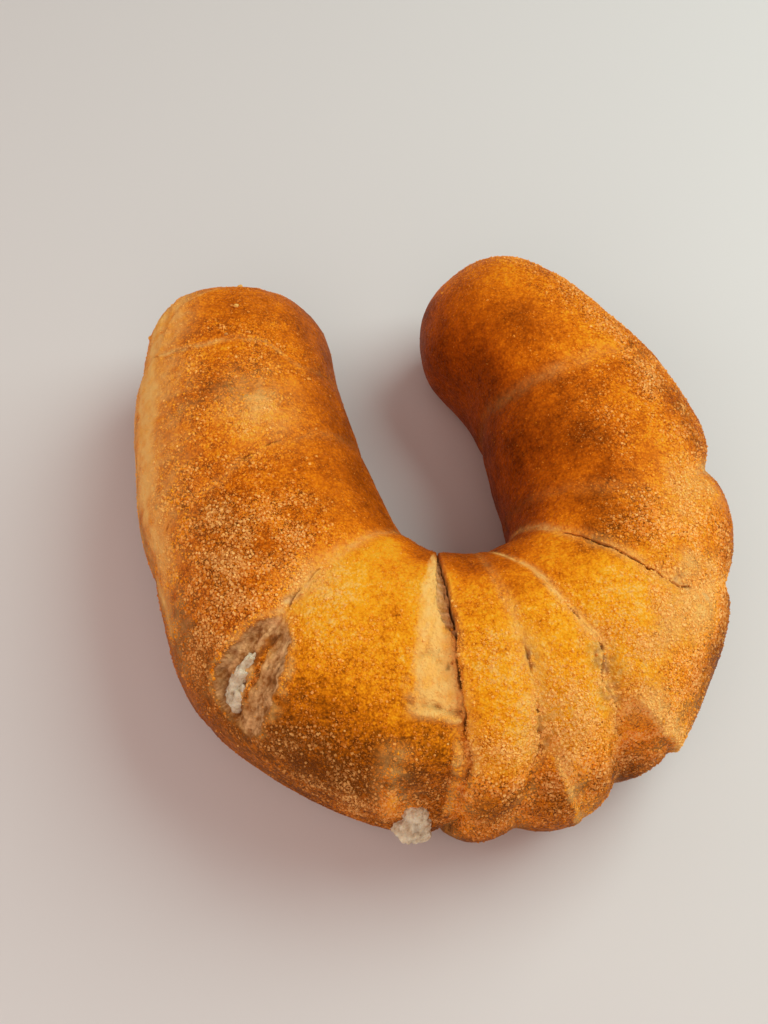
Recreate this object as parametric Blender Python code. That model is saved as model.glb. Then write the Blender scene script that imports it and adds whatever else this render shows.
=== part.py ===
"""A horseshoe pastry: a thick roll of sweet yeast dough, wound in overlapping turns and bent into
a horseshoe, with a soft pale filling inside that shows at two tears.

Metres, +Z up. The origin lies under the middle of the pastry, on the surface that it rests on.
The bend points to -Y and the two ends point to +Y. Two words are used for every place on it:
"along" is the share of the roll's length from its left end to its right end, and "around" is
the angle in degrees round the roll: 0 at the outer side, 90 on top, 180 at the inner side.
"""

import bmesh
import bpy
import numpy as np

# The roll. Each station gives the middle line's place in plan, the roll's half-width and its
# height there. They run from the left end, round the bend, to the right end.
STATIONS = {
    #                    x        y      half-width  height
    "left end":       (-0.0373,  0.0640,  0.0192,  0.0350),
    "left roll":      (-0.0395,  0.0389,  0.0223,  0.0385),
    "left arm":       (-0.0367,  0.0072,  0.0248,  0.0420),
    "left shoulder":  (-0.0277, -0.0233,  0.0269,  0.0445),
    "bend":           (-0.0040, -0.0399,  0.0270,  0.0455),
    "right shoulder": (0.0271, -0.0321,  0.0251,  0.0455),
    "right arm":      (0.0385, -0.0127,  0.0229,  0.0428),
    "right roll":     (0.0340,  0.0280,  0.0210,  0.0393),
    "right crook":    (0.0196,  0.0538,  0.0182,  0.0368),
    "right end":      (0.0116,  0.0640,  0.0204,  0.0350),
}
WIDEST_LEVEL = 0.45  # height of the roll's widest level, as a share of its height
SECTION_POWER = 2.35  # 2 is a round section, and more is plumper
BELLY = 1.3  # how far the round underside would reach below the resting face
LEFT_END, RIGHT_END = 0.0186, 0.0285  # lengths of the two rounded ends
END_POWER = 2.5

# The seams, where one turn of the dough overlaps the next. "at" is each seam's place along the
# roll, and "depth" its depth, both at the five angles in SEAM_ANGLES.
SEAM_ANGLES = (0, 45, 90, 135, 180)
MM = 0.001
SEAMS = {
    "left end seam": dict(
        at=(0.084, 0.095, 0.098, 0.130, 0.128), depth=(0.6, 0.5, 0.4, 0.4, 0.5), half_width=1.3),
    "left arm seam": dict(
        at=(0.266, 0.259, 0.223, 0.208, 0.204), depth=(0.6, 0.5, 0.4, 0.5, 0.4), half_width=2.6),
    "left tear seam": dict(
        at=(0.350, 0.364, 0.349, 0.342, 0.340), depth=(0.2, 1.2, 0.9, 0.7, 0.6), half_width=3.0),
    "centre split": dict(
        at=(0.474, 0.476, 0.470, 0.445, 0.424), depth=(1.1, 2.2, 1.9, 1.4, 1.2), half_width=2.0),
    "first pleat": dict(
        at=(0.497, 0.509, 0.516, 0.516, 0.520), depth=(0.8, 2.0, 1.1, 0.5, 0.5), half_width=3.2),
    "second pleat": dict(
        at=(0.545, 0.550, 0.557, 0.545, 0.540), depth=(1.2, 2.3, 1.1, 0.9, 0.6), half_width=2.6),
    "right slit": dict(
        at=(0.664, 0.638, 0.626, 0.637, 0.655), depth=(0.8, 1.6, 1.6, 1.2, 0.8), half_width=2.2),
    "right notch": dict(
        at=(0.735, 0.717, 0.688, 0.690, 0.700), depth=(2.4, 1.8, 0.5, 0.5, 0.6), half_width=2.8),
    "right arm seam": dict(
        at=(0.790, 0.806, 0.824, 0.832, 0.846), depth=(0.9, 0.7, 0.7, 0.9, 1.1), half_width=2.6),
}
PILLOW = 0.9 * MM  # how far the middle of a turn swells above its two seams
PILLOW_LEVEL = 0.5  # share of that swelling that lies outside the smooth form
INNER_CALM = 0.55  # how much fainter all relief is on the inner side of the bend
SPLIT_RAMP = 7.0 * MM  # width of the stretched dough that slopes down into the centre split

# Hollows torn or pressed into the crust: centre, half-sizes along (metres) and around (degrees).
HOLLOWS = {
    "left tear": dict(along=0.3645, around=48, half_length=4.6 * MM, half_angle=31, depth=4.2 * MM),
    "split foot": dict(along=0.4590, around=14, half_length=4.8 * MM, half_angle=36, depth=3.6 * MM),
    "first pocket": dict(along=0.5075, around=36, half_length=3.4 * MM, half_angle=26, depth=1.2 * MM),
    "second pocket": dict(along=0.5510, around=20, half_length=4.0 * MM, half_angle=34, depth=2.8 * MM),
}

# Broad swells and dips of the whole form: centre, half-sizes along (metres) and around (degrees).
SWELLS = {
    "left tip": dict(along=0.045, around=15, half_length=8.0 * MM, half_angle=35, height=-0.4 * MM),
    "left shoulder": dict(along=0.336, around=355, half_length=12.0 * MM, half_angle=35, height=0.7 * MM),
    "left bend": dict(along=0.418, around=355, half_length=10.0 * MM, half_angle=35, height=-1.0 * MM),
    "right bend": dict(along=0.663, around=0, half_length=7.0 * MM, half_angle=35, height=-1.0 * MM),
    "right arm": dict(along=0.861, around=10, half_length=12.0 * MM, half_angle=35, height=0.9 * MM),
    "right tip": dict(along=0.954, around=165, half_length=9.0 * MM, half_angle=45, height=1.4 * MM),
}

# The filling: a rope inside the roll, with one branch to each tear where it shows.
ROPE_FROM, ROPE_TO = 0.17, 0.84
ROPE_RADIUS = 0.0080
LUMPS = {
    #             along, around, how far its top lies outside the roll's smooth form, radius
    "left lump": (0.3560, 36, -1.5 * MM, 5.2 * MM),
    "foot lump": (0.4580, 358, 2.0 * MM, 5.2 * MM),
}
GAP = 0.3 * MM  # between the filling and the dough round it

BACKBONE_POINTS = 2000
DOUGH_RINGS, DOUGH_SIDES = 130, 34
ROPE_RINGS, ROPE_SIDES = 40, 12


def clear_scene():
    for thing in list(bpy.data.objects):
        bpy.data.objects.remove(thing)


def smooth_rows(rows, count):
    """A natural cubic spline through every row of numbers, as count rows. Its parameter is the
    distance in plan, so its bends are as even as the stations allow."""
    rows = np.array(rows, float)
    gaps = np.linalg.norm(np.diff(rows[:, :2], axis=0), axis=1)[:, None]
    knots = np.concatenate([[0], np.cumsum(gaps)])
    slopes = np.diff(rows, axis=0) / gaps
    system, wanted = np.eye(len(rows)), np.zeros_like(rows)
    for k in range(1, len(rows) - 1):
        system[k, k - 1:k + 2] = gaps[k - 1, 0], 2 * (gaps[k - 1, 0] + gaps[k, 0]), gaps[k, 0]
        wanted[k] = 6 * (slopes[k] - slopes[k - 1])
    bends = np.linalg.solve(system, wanted)
    place = np.linspace(0, knots[-1], count)
    k = np.clip(np.searchsorted(knots, place, side="right") - 1, 0, len(rows) - 2)
    t = (place - knots[k])[:, None]
    slope = slopes[k] - gaps[k] * (2 * bends[k] + bends[k + 1]) / 6
    return rows[k] + t * slope + t**2 * bends[k] / 2 + t**3 * (bends[k + 1] - bends[k]) / (6 * gaps[k])


def backbone():
    """The middle line as (distance from the left end, rows of x, y, half-width and height)."""
    rows = smooth_rows(list(STATIONS.values()), BACKBONE_POINTS)
    steps = np.linalg.norm(np.diff(rows[:, :2], axis=0), axis=1)
    return np.concatenate([[0], np.cumsum(steps)]), rows


DISTANCE, ROWS = backbone()
LENGTH = DISTANCE[-1]


def on_backbone(distance):
    """x, y, half-width, height and the outward direction in plan at a distance along the roll."""
    x, y, half_width, height = (np.interp(distance, DISTANCE, ROWS[:, k]) for k in range(4))
    step = 1 * MM
    ahead, behind = distance + step, distance - step
    run_x = np.interp(ahead, DISTANCE, ROWS[:, 0]) - np.interp(behind, DISTANCE, ROWS[:, 0])
    run_y = np.interp(ahead, DISTANCE, ROWS[:, 1]) - np.interp(behind, DISTANCE, ROWS[:, 1])
    run = np.hypot(run_x, run_y)
    return x, y, half_width, height, run_y / run, -run_x / run


def signed_power(value, power):
    return np.sign(value) * np.abs(value) ** power


def roll_surface(distance, around, relief):
    """Points of the roll. relief is how far each point stands out from the smooth form."""
    x, y, half_width, height, out_x, out_y = on_backbone(distance)
    from_end = np.maximum(1 - distance / LEFT_END, 1 - (LENGTH - distance) / RIGHT_END)
    closing = (1 - np.clip(from_end, 0, 1) ** END_POWER) ** (1 / END_POWER)
    angle = np.radians(around)
    out = signed_power(np.cos(angle), 2 / SECTION_POWER)
    up = signed_power(np.sin(angle), 2 / SECTION_POWER)
    level = WIDEST_LEVEL * height
    rise = np.where(up > 0, height - level, level * BELLY)
    across = out * closing * half_width + relief * closing * np.cos(angle)
    z = level + up * closing * rise + relief * closing * np.sin(angle)
    return np.stack([x + out_x * across, y + out_y * across, np.maximum(z, 0)], axis=-1)


def at_angle(values, around):
    """A value given at the five seam angles, smoothly read at any angle. It fades back to the
    first one under the roll."""
    angles = np.array([*SEAM_ANGLES, 360])
    values = np.array([*values, values[0]])
    k = np.clip(np.searchsorted(angles, around, side="right") - 1, 0, len(angles) - 2)
    t = (around - angles[k]) / (angles[k + 1] - angles[k])
    return values[k] + (values[k + 1] - values[k]) * t * t * (3 - 2 * t)


def seam_distances(around):
    """Each seam's distance from the left end at these angles, one row for each seam."""
    return np.array([at_angle(seam["at"], around) for seam in SEAMS.values()]) * LENGTH


def bowl(offset):
    """1 at offset 0, falling ever faster to 0 at offset 1, and 0 beyond."""
    return np.clip(1 - offset**2, 0, 1) ** 1.2


def seam_relief(distance, around):
    """Valleys at the seams, and turns of dough that swell between them."""
    relief = np.zeros_like(distance)
    places = seam_distances(around)
    for place, (name, seam) in zip(places, SEAMS.items()):
        off = distance - place
        depth = at_angle(seam["depth"], around) * MM
        half = seam["half_width"] * MM
        valley = np.exp(-((off / half) ** 2))
        if name == "centre split":
            ramp = np.clip(1 + off / SPLIT_RAMP, 0, 1) ** 1.5 * (off < 0)
            valley = np.maximum(ramp, np.exp(-((off / (0.4 * half)) ** 2)) * (off >= 0))
        relief -= depth * valley
    edges = np.vstack([np.zeros_like(places[:1]), places, np.full_like(places[:1], LENGTH)])
    for near, far in zip(edges, edges[1:]):
        share = (distance - near) / (far - near)
        inside = (share >= 0) & (share <= 1)
        relief += np.where(inside, PILLOW * (PILLOW_LEVEL - np.abs(2 * share - 1) ** 2.5), 0)
    return relief


def hollow_relief(distance, around):
    relief = np.zeros_like(distance)
    turned = (around + 180) % 360 - 180
    for hollow in HOLLOWS.values():
        off = (distance - hollow["along"] * LENGTH) / hollow["half_length"]
        turn = (turned - hollow["around"]) / hollow["half_angle"]
        relief -= hollow["depth"] * bowl(np.hypot(off, turn))
    return relief


def lumpiness(distance, around):
    """Slow unevenness of hand-rolled dough: broad swells and a few waves of different lengths."""
    angle = np.radians(around)
    turns = 2 * np.pi * distance / LENGTH
    swells = np.zeros_like(distance)
    for swell in SWELLS.values():
        off = (distance - swell["along"] * LENGTH) / swell["half_length"]
        turn = ((around - swell["around"] + 180) % 360 - 180) / swell["half_angle"]
        swells += swell["height"] * np.exp(-(off**2) - turn**2)
    waves = (
        0.45 * np.sin(5 * turns + 2 * angle + 0.4)
        + 0.35 * np.sin(9 * turns - 3 * angle + 1.9)
        + 0.25 * np.sin(14 * turns + angle + 4.1)
    )
    return swells + 0.5 * MM * waves


def even_steps(density, count):
    """count places from 0 to 1, closer together where density(place) is higher."""
    fine = np.linspace(0, 1, 4000)
    total = np.concatenate([[0], np.cumsum(density(fine)[:-1])])
    return np.interp(np.linspace(0, total[-1], count), total, fine)


def ring_density(share):
    """More rings at the seams and at the two rounded ends."""
    density = np.ones_like(share)
    for seam in SEAMS.values():
        density += 1.3 * np.exp(-(((share - seam["at"][2]) * LENGTH / (3 * MM)) ** 2))
    nearest_end = np.minimum(share, 1 - share) * LENGTH
    return density + 2.5 * np.exp(-((nearest_end / (5 * MM)) ** 2))


def side_density(share):
    """Fewer lines under the roll, where it is flat."""
    return np.where(np.abs(share - 0.75) < 0.17, 0.45, 1.0)


def dough_grid():
    """Distances and angles of the dough's grid. Its rings lean with the seams."""
    share = even_steps(ring_density, DOUGH_RINGS + 2)[1:-1]
    turn = even_steps(side_density, DOUGH_SIDES + 1)[:-1]
    around = turn[None, :] * 360 + np.zeros((len(share), 1))
    straight = np.array([0, *(seam["at"][2] for seam in SEAMS.values()), 1]) * LENGTH
    distance = np.empty_like(around)
    for column in range(around.shape[1]):
        leaning = [0, *seam_distances(around[:1, column])[:, 0], LENGTH]
        distance[:, column] = np.interp(share * LENGTH, straight, leaning)
    return distance, around


def closed_tube_mesh(name, rings, first_pole, last_pole):
    """A mesh with quads between rings of points and a fan of triangles at each pole."""
    count, sides = rings.shape[:2]
    points = [*rings.reshape(-1, 3), first_pole, last_pole]
    near, far = count * sides, count * sides + 1
    faces = []
    for side in range(sides):
        after = (side + 1) % sides
        for ring in range(count - 1):
            low, high = ring * sides, (ring + 1) * sides
            faces.append((low + side, low + after, high + after, high + side))
        last = (count - 1) * sides
        faces.append((near, after, side))
        faces.append((far, last + side, last + after))
    mesh = bpy.data.meshes.new(name)
    mesh.from_pydata([tuple(point) for point in points], [], faces)
    outward = bmesh.new()
    outward.from_mesh(mesh)
    bmesh.ops.recalc_face_normals(outward, faces=outward.faces)
    outward.to_mesh(mesh)
    outward.free()
    mesh.shade_smooth()
    return mesh


def add_object(name, mesh, material=None):
    thing = bpy.data.objects.new(name, mesh)
    bpy.context.scene.collection.objects.link(thing)
    if material:
        mesh.materials.append(material)
    return thing


def add_material(name, colour, roughness):
    material = bpy.data.materials.new(name)
    material.use_nodes = True
    shader = material.node_tree.nodes["Principled BSDF"]
    shader.inputs["Base Color"].default_value = (*colour, 1)
    shader.inputs["Roughness"].default_value = roughness
    shader.inputs["Metallic"].default_value = 0
    return material


def make_dough(material):
    distance, around = dough_grid()
    relief = seam_relief(distance, around) + hollow_relief(distance, around) + lumpiness(distance, around)
    relief *= 1 - INNER_CALM * np.clip(-np.cos(np.radians(around)), 0, 1)
    rings = roll_surface(distance, around, relief)
    poles = [on_backbone(np.array(place)) for place in (0.0, LENGTH)]
    tips = [(x, y, WIDEST_LEVEL * height) for x, y, _, height, _, _ in poles]
    return add_object("dough", closed_tube_mesh("dough", rings, *tips), material)


def round_tube(name, centres, radii):
    """A closed tube of round rings square to the line of centres, with a rounded pole at each end."""
    centres, radii = np.array(centres, float), np.array(radii, float)
    run = np.gradient(centres, axis=0)
    run /= np.linalg.norm(run, axis=1)[:, None]
    side = np.cross(run, (0, 0, 1))
    side /= np.linalg.norm(side, axis=1)[:, None]
    rise = np.cross(side, run)
    turn = np.linspace(0, 2 * np.pi, ROPE_SIDES, endpoint=False)
    rings = centres[:, None] + radii[:, None, None] * (
        np.cos(turn)[None, :, None] * side[:, None] + np.sin(turn)[None, :, None] * rise[:, None]
    )
    poles = (centres[0] - run[0] * radii[0] * 0.4, centres[-1] + run[-1] * radii[-1] * 0.4)
    return closed_tube_mesh(name, rings, *poles)


def rope_mesh(swell):
    """The rope inside the roll, thicker by swell."""
    distance = np.linspace(ROPE_FROM, ROPE_TO, ROPE_RINGS) * LENGTH
    x, y, _, height, _, _ = on_backbone(distance)
    from_end = np.minimum(distance - distance[0], distance[-1] - distance)
    radii = ROPE_RADIUS * np.sqrt(1 - np.clip(1 - from_end / ROPE_RADIUS, 0, 0.92) ** 2)
    centres = np.stack([x, y, WIDEST_LEVEL * height], axis=1)
    return round_tube("rope", centres, radii + swell)


def lump_mesh(along, around, stand_out, radius, swell):
    """A branch of filling from the rope to a lump that shows at a tear, thicker by swell."""
    place = np.array([[along * LENGTH]])
    surface = roll_surface(place, np.array([[float(around % 360)]]), np.zeros((1, 1)))[0, 0]
    x, y, _, height, _, _ = on_backbone(place[0, 0])
    core = np.array([x, y, WIDEST_LEVEL * height])
    outward = (surface - core) / np.linalg.norm(surface - core)
    top = surface + outward * stand_out
    reach = np.linalg.norm(top - core)
    depth = np.array([0.02, 0.25, 0.5, 0.8, 1.15, 1.5, 2.0, 2.6]) * radius
    depth = np.append(depth, reach - 0.2 * ROPE_RADIUS)
    radii = radius * np.array([0.35, 0.68, 0.86, 0.98, 1.0, 0.94, 0.82, 0.7, 0.6])
    return round_tube("lump", top - outward * depth[:, None], radii + swell)


def filling_pieces(swell):
    meshes = {"rope": rope_mesh(swell)}
    for name, (along, around, stand_out, radius) in LUMPS.items():
        meshes[name] = lump_mesh(along, around, stand_out, radius, swell)
    return meshes


def apply_modifiers(thing):
    graph = bpy.context.evaluated_depsgraph_get()
    mesh = bpy.data.meshes.new_from_object(thing.evaluated_get(graph))
    thing.modifiers.clear()
    thing.data = mesh


def make_filling(material):
    """The rope and its lumps, joined into one solid."""
    parts = bpy.data.collections.new("filling parts")
    bpy.context.scene.collection.children.link(parts)
    meshes = filling_pieces(0)
    filling = add_object("filling", meshes.pop("rope"), material)
    for name, mesh in meshes.items():
        mesh.materials.append(material)
        parts.objects.link(bpy.data.objects.new(name, mesh))
    union = filling.modifiers.new("join", "BOOLEAN")
    union.operation = "UNION"
    union.operand_type = "COLLECTION"
    union.collection = parts
    apply_modifiers(filling)
    for thing in list(parts.objects):
        bpy.data.objects.remove(thing)
    bpy.data.collections.remove(parts)
    return filling


def hollow_out(dough):
    """Cuts the room for the filling out of the dough, with a gap all round."""
    for name, mesh in filling_pieces(GAP).items():
        cutter = add_object("room for " + name, mesh)
        cutter.hide_render = True
        cutter.display_type = "WIRE"
        cut = dough.modifiers.new("room for " + name, "BOOLEAN")
        cut.operation = "DIFFERENCE"
        cut.object = cutter


def main():
    clear_scene()
    dough = make_dough(add_material("baked dough", (0.55, 0.24, 0.05), 0.55))
    make_filling(add_material("pale filling", (0.72, 0.62, 0.46), 0.5))
    hollow_out(dough)


main()
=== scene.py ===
import math
from concurrent.futures import ThreadPoolExecutor
from functools import partial
from types import SimpleNamespace

import bpy
import numpy as np
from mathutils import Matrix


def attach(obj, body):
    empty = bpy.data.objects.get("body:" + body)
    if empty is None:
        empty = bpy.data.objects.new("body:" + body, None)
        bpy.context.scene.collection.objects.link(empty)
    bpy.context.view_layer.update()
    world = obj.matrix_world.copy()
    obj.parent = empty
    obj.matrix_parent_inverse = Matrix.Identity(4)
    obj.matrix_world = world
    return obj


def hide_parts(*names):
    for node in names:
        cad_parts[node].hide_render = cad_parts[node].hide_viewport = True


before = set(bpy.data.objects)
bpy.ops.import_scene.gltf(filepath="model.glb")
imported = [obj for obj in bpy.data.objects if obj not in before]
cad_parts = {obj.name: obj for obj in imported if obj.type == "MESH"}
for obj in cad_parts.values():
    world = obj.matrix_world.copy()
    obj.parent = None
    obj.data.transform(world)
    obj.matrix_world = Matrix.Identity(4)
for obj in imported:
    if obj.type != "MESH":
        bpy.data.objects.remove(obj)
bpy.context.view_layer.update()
print("frame loaded")

mm = 0.001

# Two words place everything on the roll: "along" is the share of its length from its left end,
# and "around" is the angle in degrees: 0 outer side, 90 top, 180 inner side, 270 underside.
roll = {
    "stations": (  # x, y of the middle line, half-width, height, in metres
        (-0.0373, 0.0640, 0.0192, 0.0350),  # left end
        (-0.0395, 0.0389, 0.0223, 0.0385),
        (-0.0367, 0.0072, 0.0248, 0.0420),
        (-0.0277, -0.0233, 0.0269, 0.0445),
        (-0.0040, -0.0399, 0.0270, 0.0455),  # bend
        (0.0271, -0.0321, 0.0251, 0.0455),
        (0.0385, -0.0127, 0.0229, 0.0428),
        (0.0340, 0.0280, 0.0210, 0.0393),
        (0.0196, 0.0538, 0.0182, 0.0368),
        (0.0116, 0.0640, 0.0204, 0.0350),  # right end
    ),
    "widestLevel": 0.45,  # share of the height
    "plumpness": 2.35,  # 2 is a round section
    "belly": 1.3,  # drop of the round underside from the widest level: the flat base cuts it at 1
    "leftEnd": 0.0186, "rightEnd": 0.0285,  # lengths of the rounded ends, in metres
    "endPower": 2.5,
}


# Natural cubic spline through every row: second derivatives solve the usual banded system, and
# each stretch is then a cubic in the distance in plan.
def splineRows(rows, count):
    rows = np.array(rows, float)
    gaps = np.linalg.norm(np.diff(rows[:, :2], axis=0), axis=1)[:, None]
    knots = np.concatenate([[0], np.cumsum(gaps)])
    slopes = np.diff(rows, axis=0) / gaps
    system, wanted = np.eye(len(rows)), np.zeros_like(rows)
    for k in range(1, len(rows) - 1):
        system[k, k - 1:k + 2] = gaps[k - 1, 0], 2 * (gaps[k - 1, 0] + gaps[k, 0]), gaps[k, 0]
        wanted[k] = 6 * (slopes[k] - slopes[k - 1])
    bends = np.linalg.solve(system, wanted)
    place = np.linspace(0, knots[-1], count)
    k = np.clip(np.searchsorted(knots, place, side="right") - 1, 0, len(rows) - 2)
    t = (place - knots[k])[:, None]
    slope = slopes[k] - gaps[k] * (2 * bends[k] + bends[k + 1]) / 6
    return rows[k] + t * slope + t**2 * bends[k] / 2 + t**3 * (bends[k + 1] - bends[k]) / (6 * gaps[k])


middleRows = splineRows(roll["stations"], 2000)
middleSteps = np.linalg.norm(np.diff(middleRows[:, :2], axis=0), axis=1)
middleWay = np.concatenate([[0], np.cumsum(middleSteps)])
rollLength = middleWay[-1]


def readMiddle(way, column):
    return np.interp(way, middleWay, middleRows[:, column])


# Middle line at a distance: x, y, half-width, height and the outward direction in plan.
def alongMiddle(way):
    x, y, halfWidth, height = (readMiddle(way, column) for column in range(4))
    runX, runY = (readMiddle(way + mm, column) - readMiddle(way - mm, column) for column in range(2))
    run = np.hypot(runX, runY)
    return x, y, halfWidth, height, runY / run, -runX / run


# Roll surface: a superellipse section (cos and sin to the power 2 / plumpness) of the local
# half-width and height, closed by a rounded end, plus relief along (cos, sin), cut flat at z = 0.
def rollPoints(way, around, relief):
    x, y, halfWidth, height, outX, outY = alongMiddle(way)
    fromEnd = np.maximum(1 - way / roll["leftEnd"], 1 - (rollLength - way) / roll["rightEnd"])
    closing = (1 - np.clip(fromEnd, 0, 1) ** roll["endPower"]) ** (1 / roll["endPower"])
    cosine, sine = np.cos(np.radians(around)), np.sin(np.radians(around))
    power = 2 / roll["plumpness"]
    out = np.sign(cosine) * np.abs(cosine) ** power
    up = np.sign(sine) * np.abs(sine) ** power
    level = roll["widestLevel"] * height
    rise = np.where(up > 0, height - level, level * roll["belly"])
    across = closing * (out * halfWidth + relief * cosine)
    z = level + closing * (up * rise + relief * sine)
    return np.stack([x + outX * across, y + outY * across, np.maximum(z, 0)], axis=-1)


# Gradient noise: each corner of a unit lattice has a hashed direction, and their dot products
# with the way to the point are blended by 6t^5 - 15t^4 + 10t^3. It runs from about -1 to 1.
def spaceNoise(points, size, seed):
    place = np.asarray(points, float) / size + seed * 7.31
    cell = np.floor(place).astype(np.int64)
    t = place - cell
    blend = t**3 * (t * (t * 6 - 15) + 10)
    total = np.zeros(place.shape[:-1])
    for corner in range(8):
        step = np.array([corner & 1, corner >> 1 & 1, corner >> 2 & 1])
        i, j, k = np.moveaxis(cell + step, -1, 0)
        key = (i * 73856093) ^ (j * 19349663) ^ (k * 83492791) ^ (seed * 2654435)
        key = (key ^ (key >> 13)) * 1274126177 & 0xFFFFFFFF
        turn = (key & 0xFFFF) / 0xFFFF * 2 * np.pi
        tall = (key >> 16 & 0xFFFF) / 0xFFFF * 2 - 1
        flat = np.sqrt(1 - tall**2)
        x, y, z = np.moveaxis(t - step, -1, 0)
        dot = x * flat * np.cos(turn) + y * flat * np.sin(turn) + z * tall
        total += np.prod(np.where(step == 1, blend, 1 - blend), axis=-1) * dot
    return total * 1.6


# Angles from -90 to 270, so that they break under the roll.
def unrolled(around):
    return np.where(around > 270, around - 360, around)


def signedAngle(around):
    return (around + 180) % 360 - 180


# Noise on the unrolled skin, with features longWay along the roll and crossWay round it, in mm.
# The skin is taken to lie 24 mm from the middle line.
def skinNoise(way, around, longWay, crossWay, seed):
    across = np.radians(unrolled(around)) * 24 / crossWay
    return spaceNoise(np.stack([way / mm / longWay, across, np.zeros_like(way)], axis=-1), 1, seed)


# From 0 to 1 by 3t^2 - 2t^3 between low and high.
def smoothStep(low, high, value):
    t = np.clip((value - low) / (high - low), 0, 1)
    return t * t * (3 - 2 * t)


# A bell curve: exp(-value^2).
def bell(value):
    return np.exp(-(value**2))


# A soft round patch on the skin: exp(-(distance along / size)^2 - (angle / size)^2).
def patch(way, around, along, angle, sizeAlong, sizeAngle):
    turned = signedAngle(around - angle)
    return np.exp(-(((way - along * rollLength) / (sizeAlong * mm)) ** 2) - (turned / sizeAngle) ** 2)


# Pairs of place and value, joined by straight lines.
def readPairs(pairs, place):
    return np.interp(place, *zip(*pairs))


# Five values at 0, 45, 90, 135 and 180 degrees, joined by smooth steps, and back to the first
# one under the roll.
def readAround(values, around):
    angles = np.array([0, 45, 90, 135, 180, 360])
    values = np.array([*values, values[0]], float)
    k = np.clip(np.searchsorted(angles, around, side="right") - 1, 0, 4)
    t = (around - angles[k]) / (angles[k + 1] - angles[k])
    return values[k] + (values[k + 1] - values[k]) * t * t * (3 - 2 * t)


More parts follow.
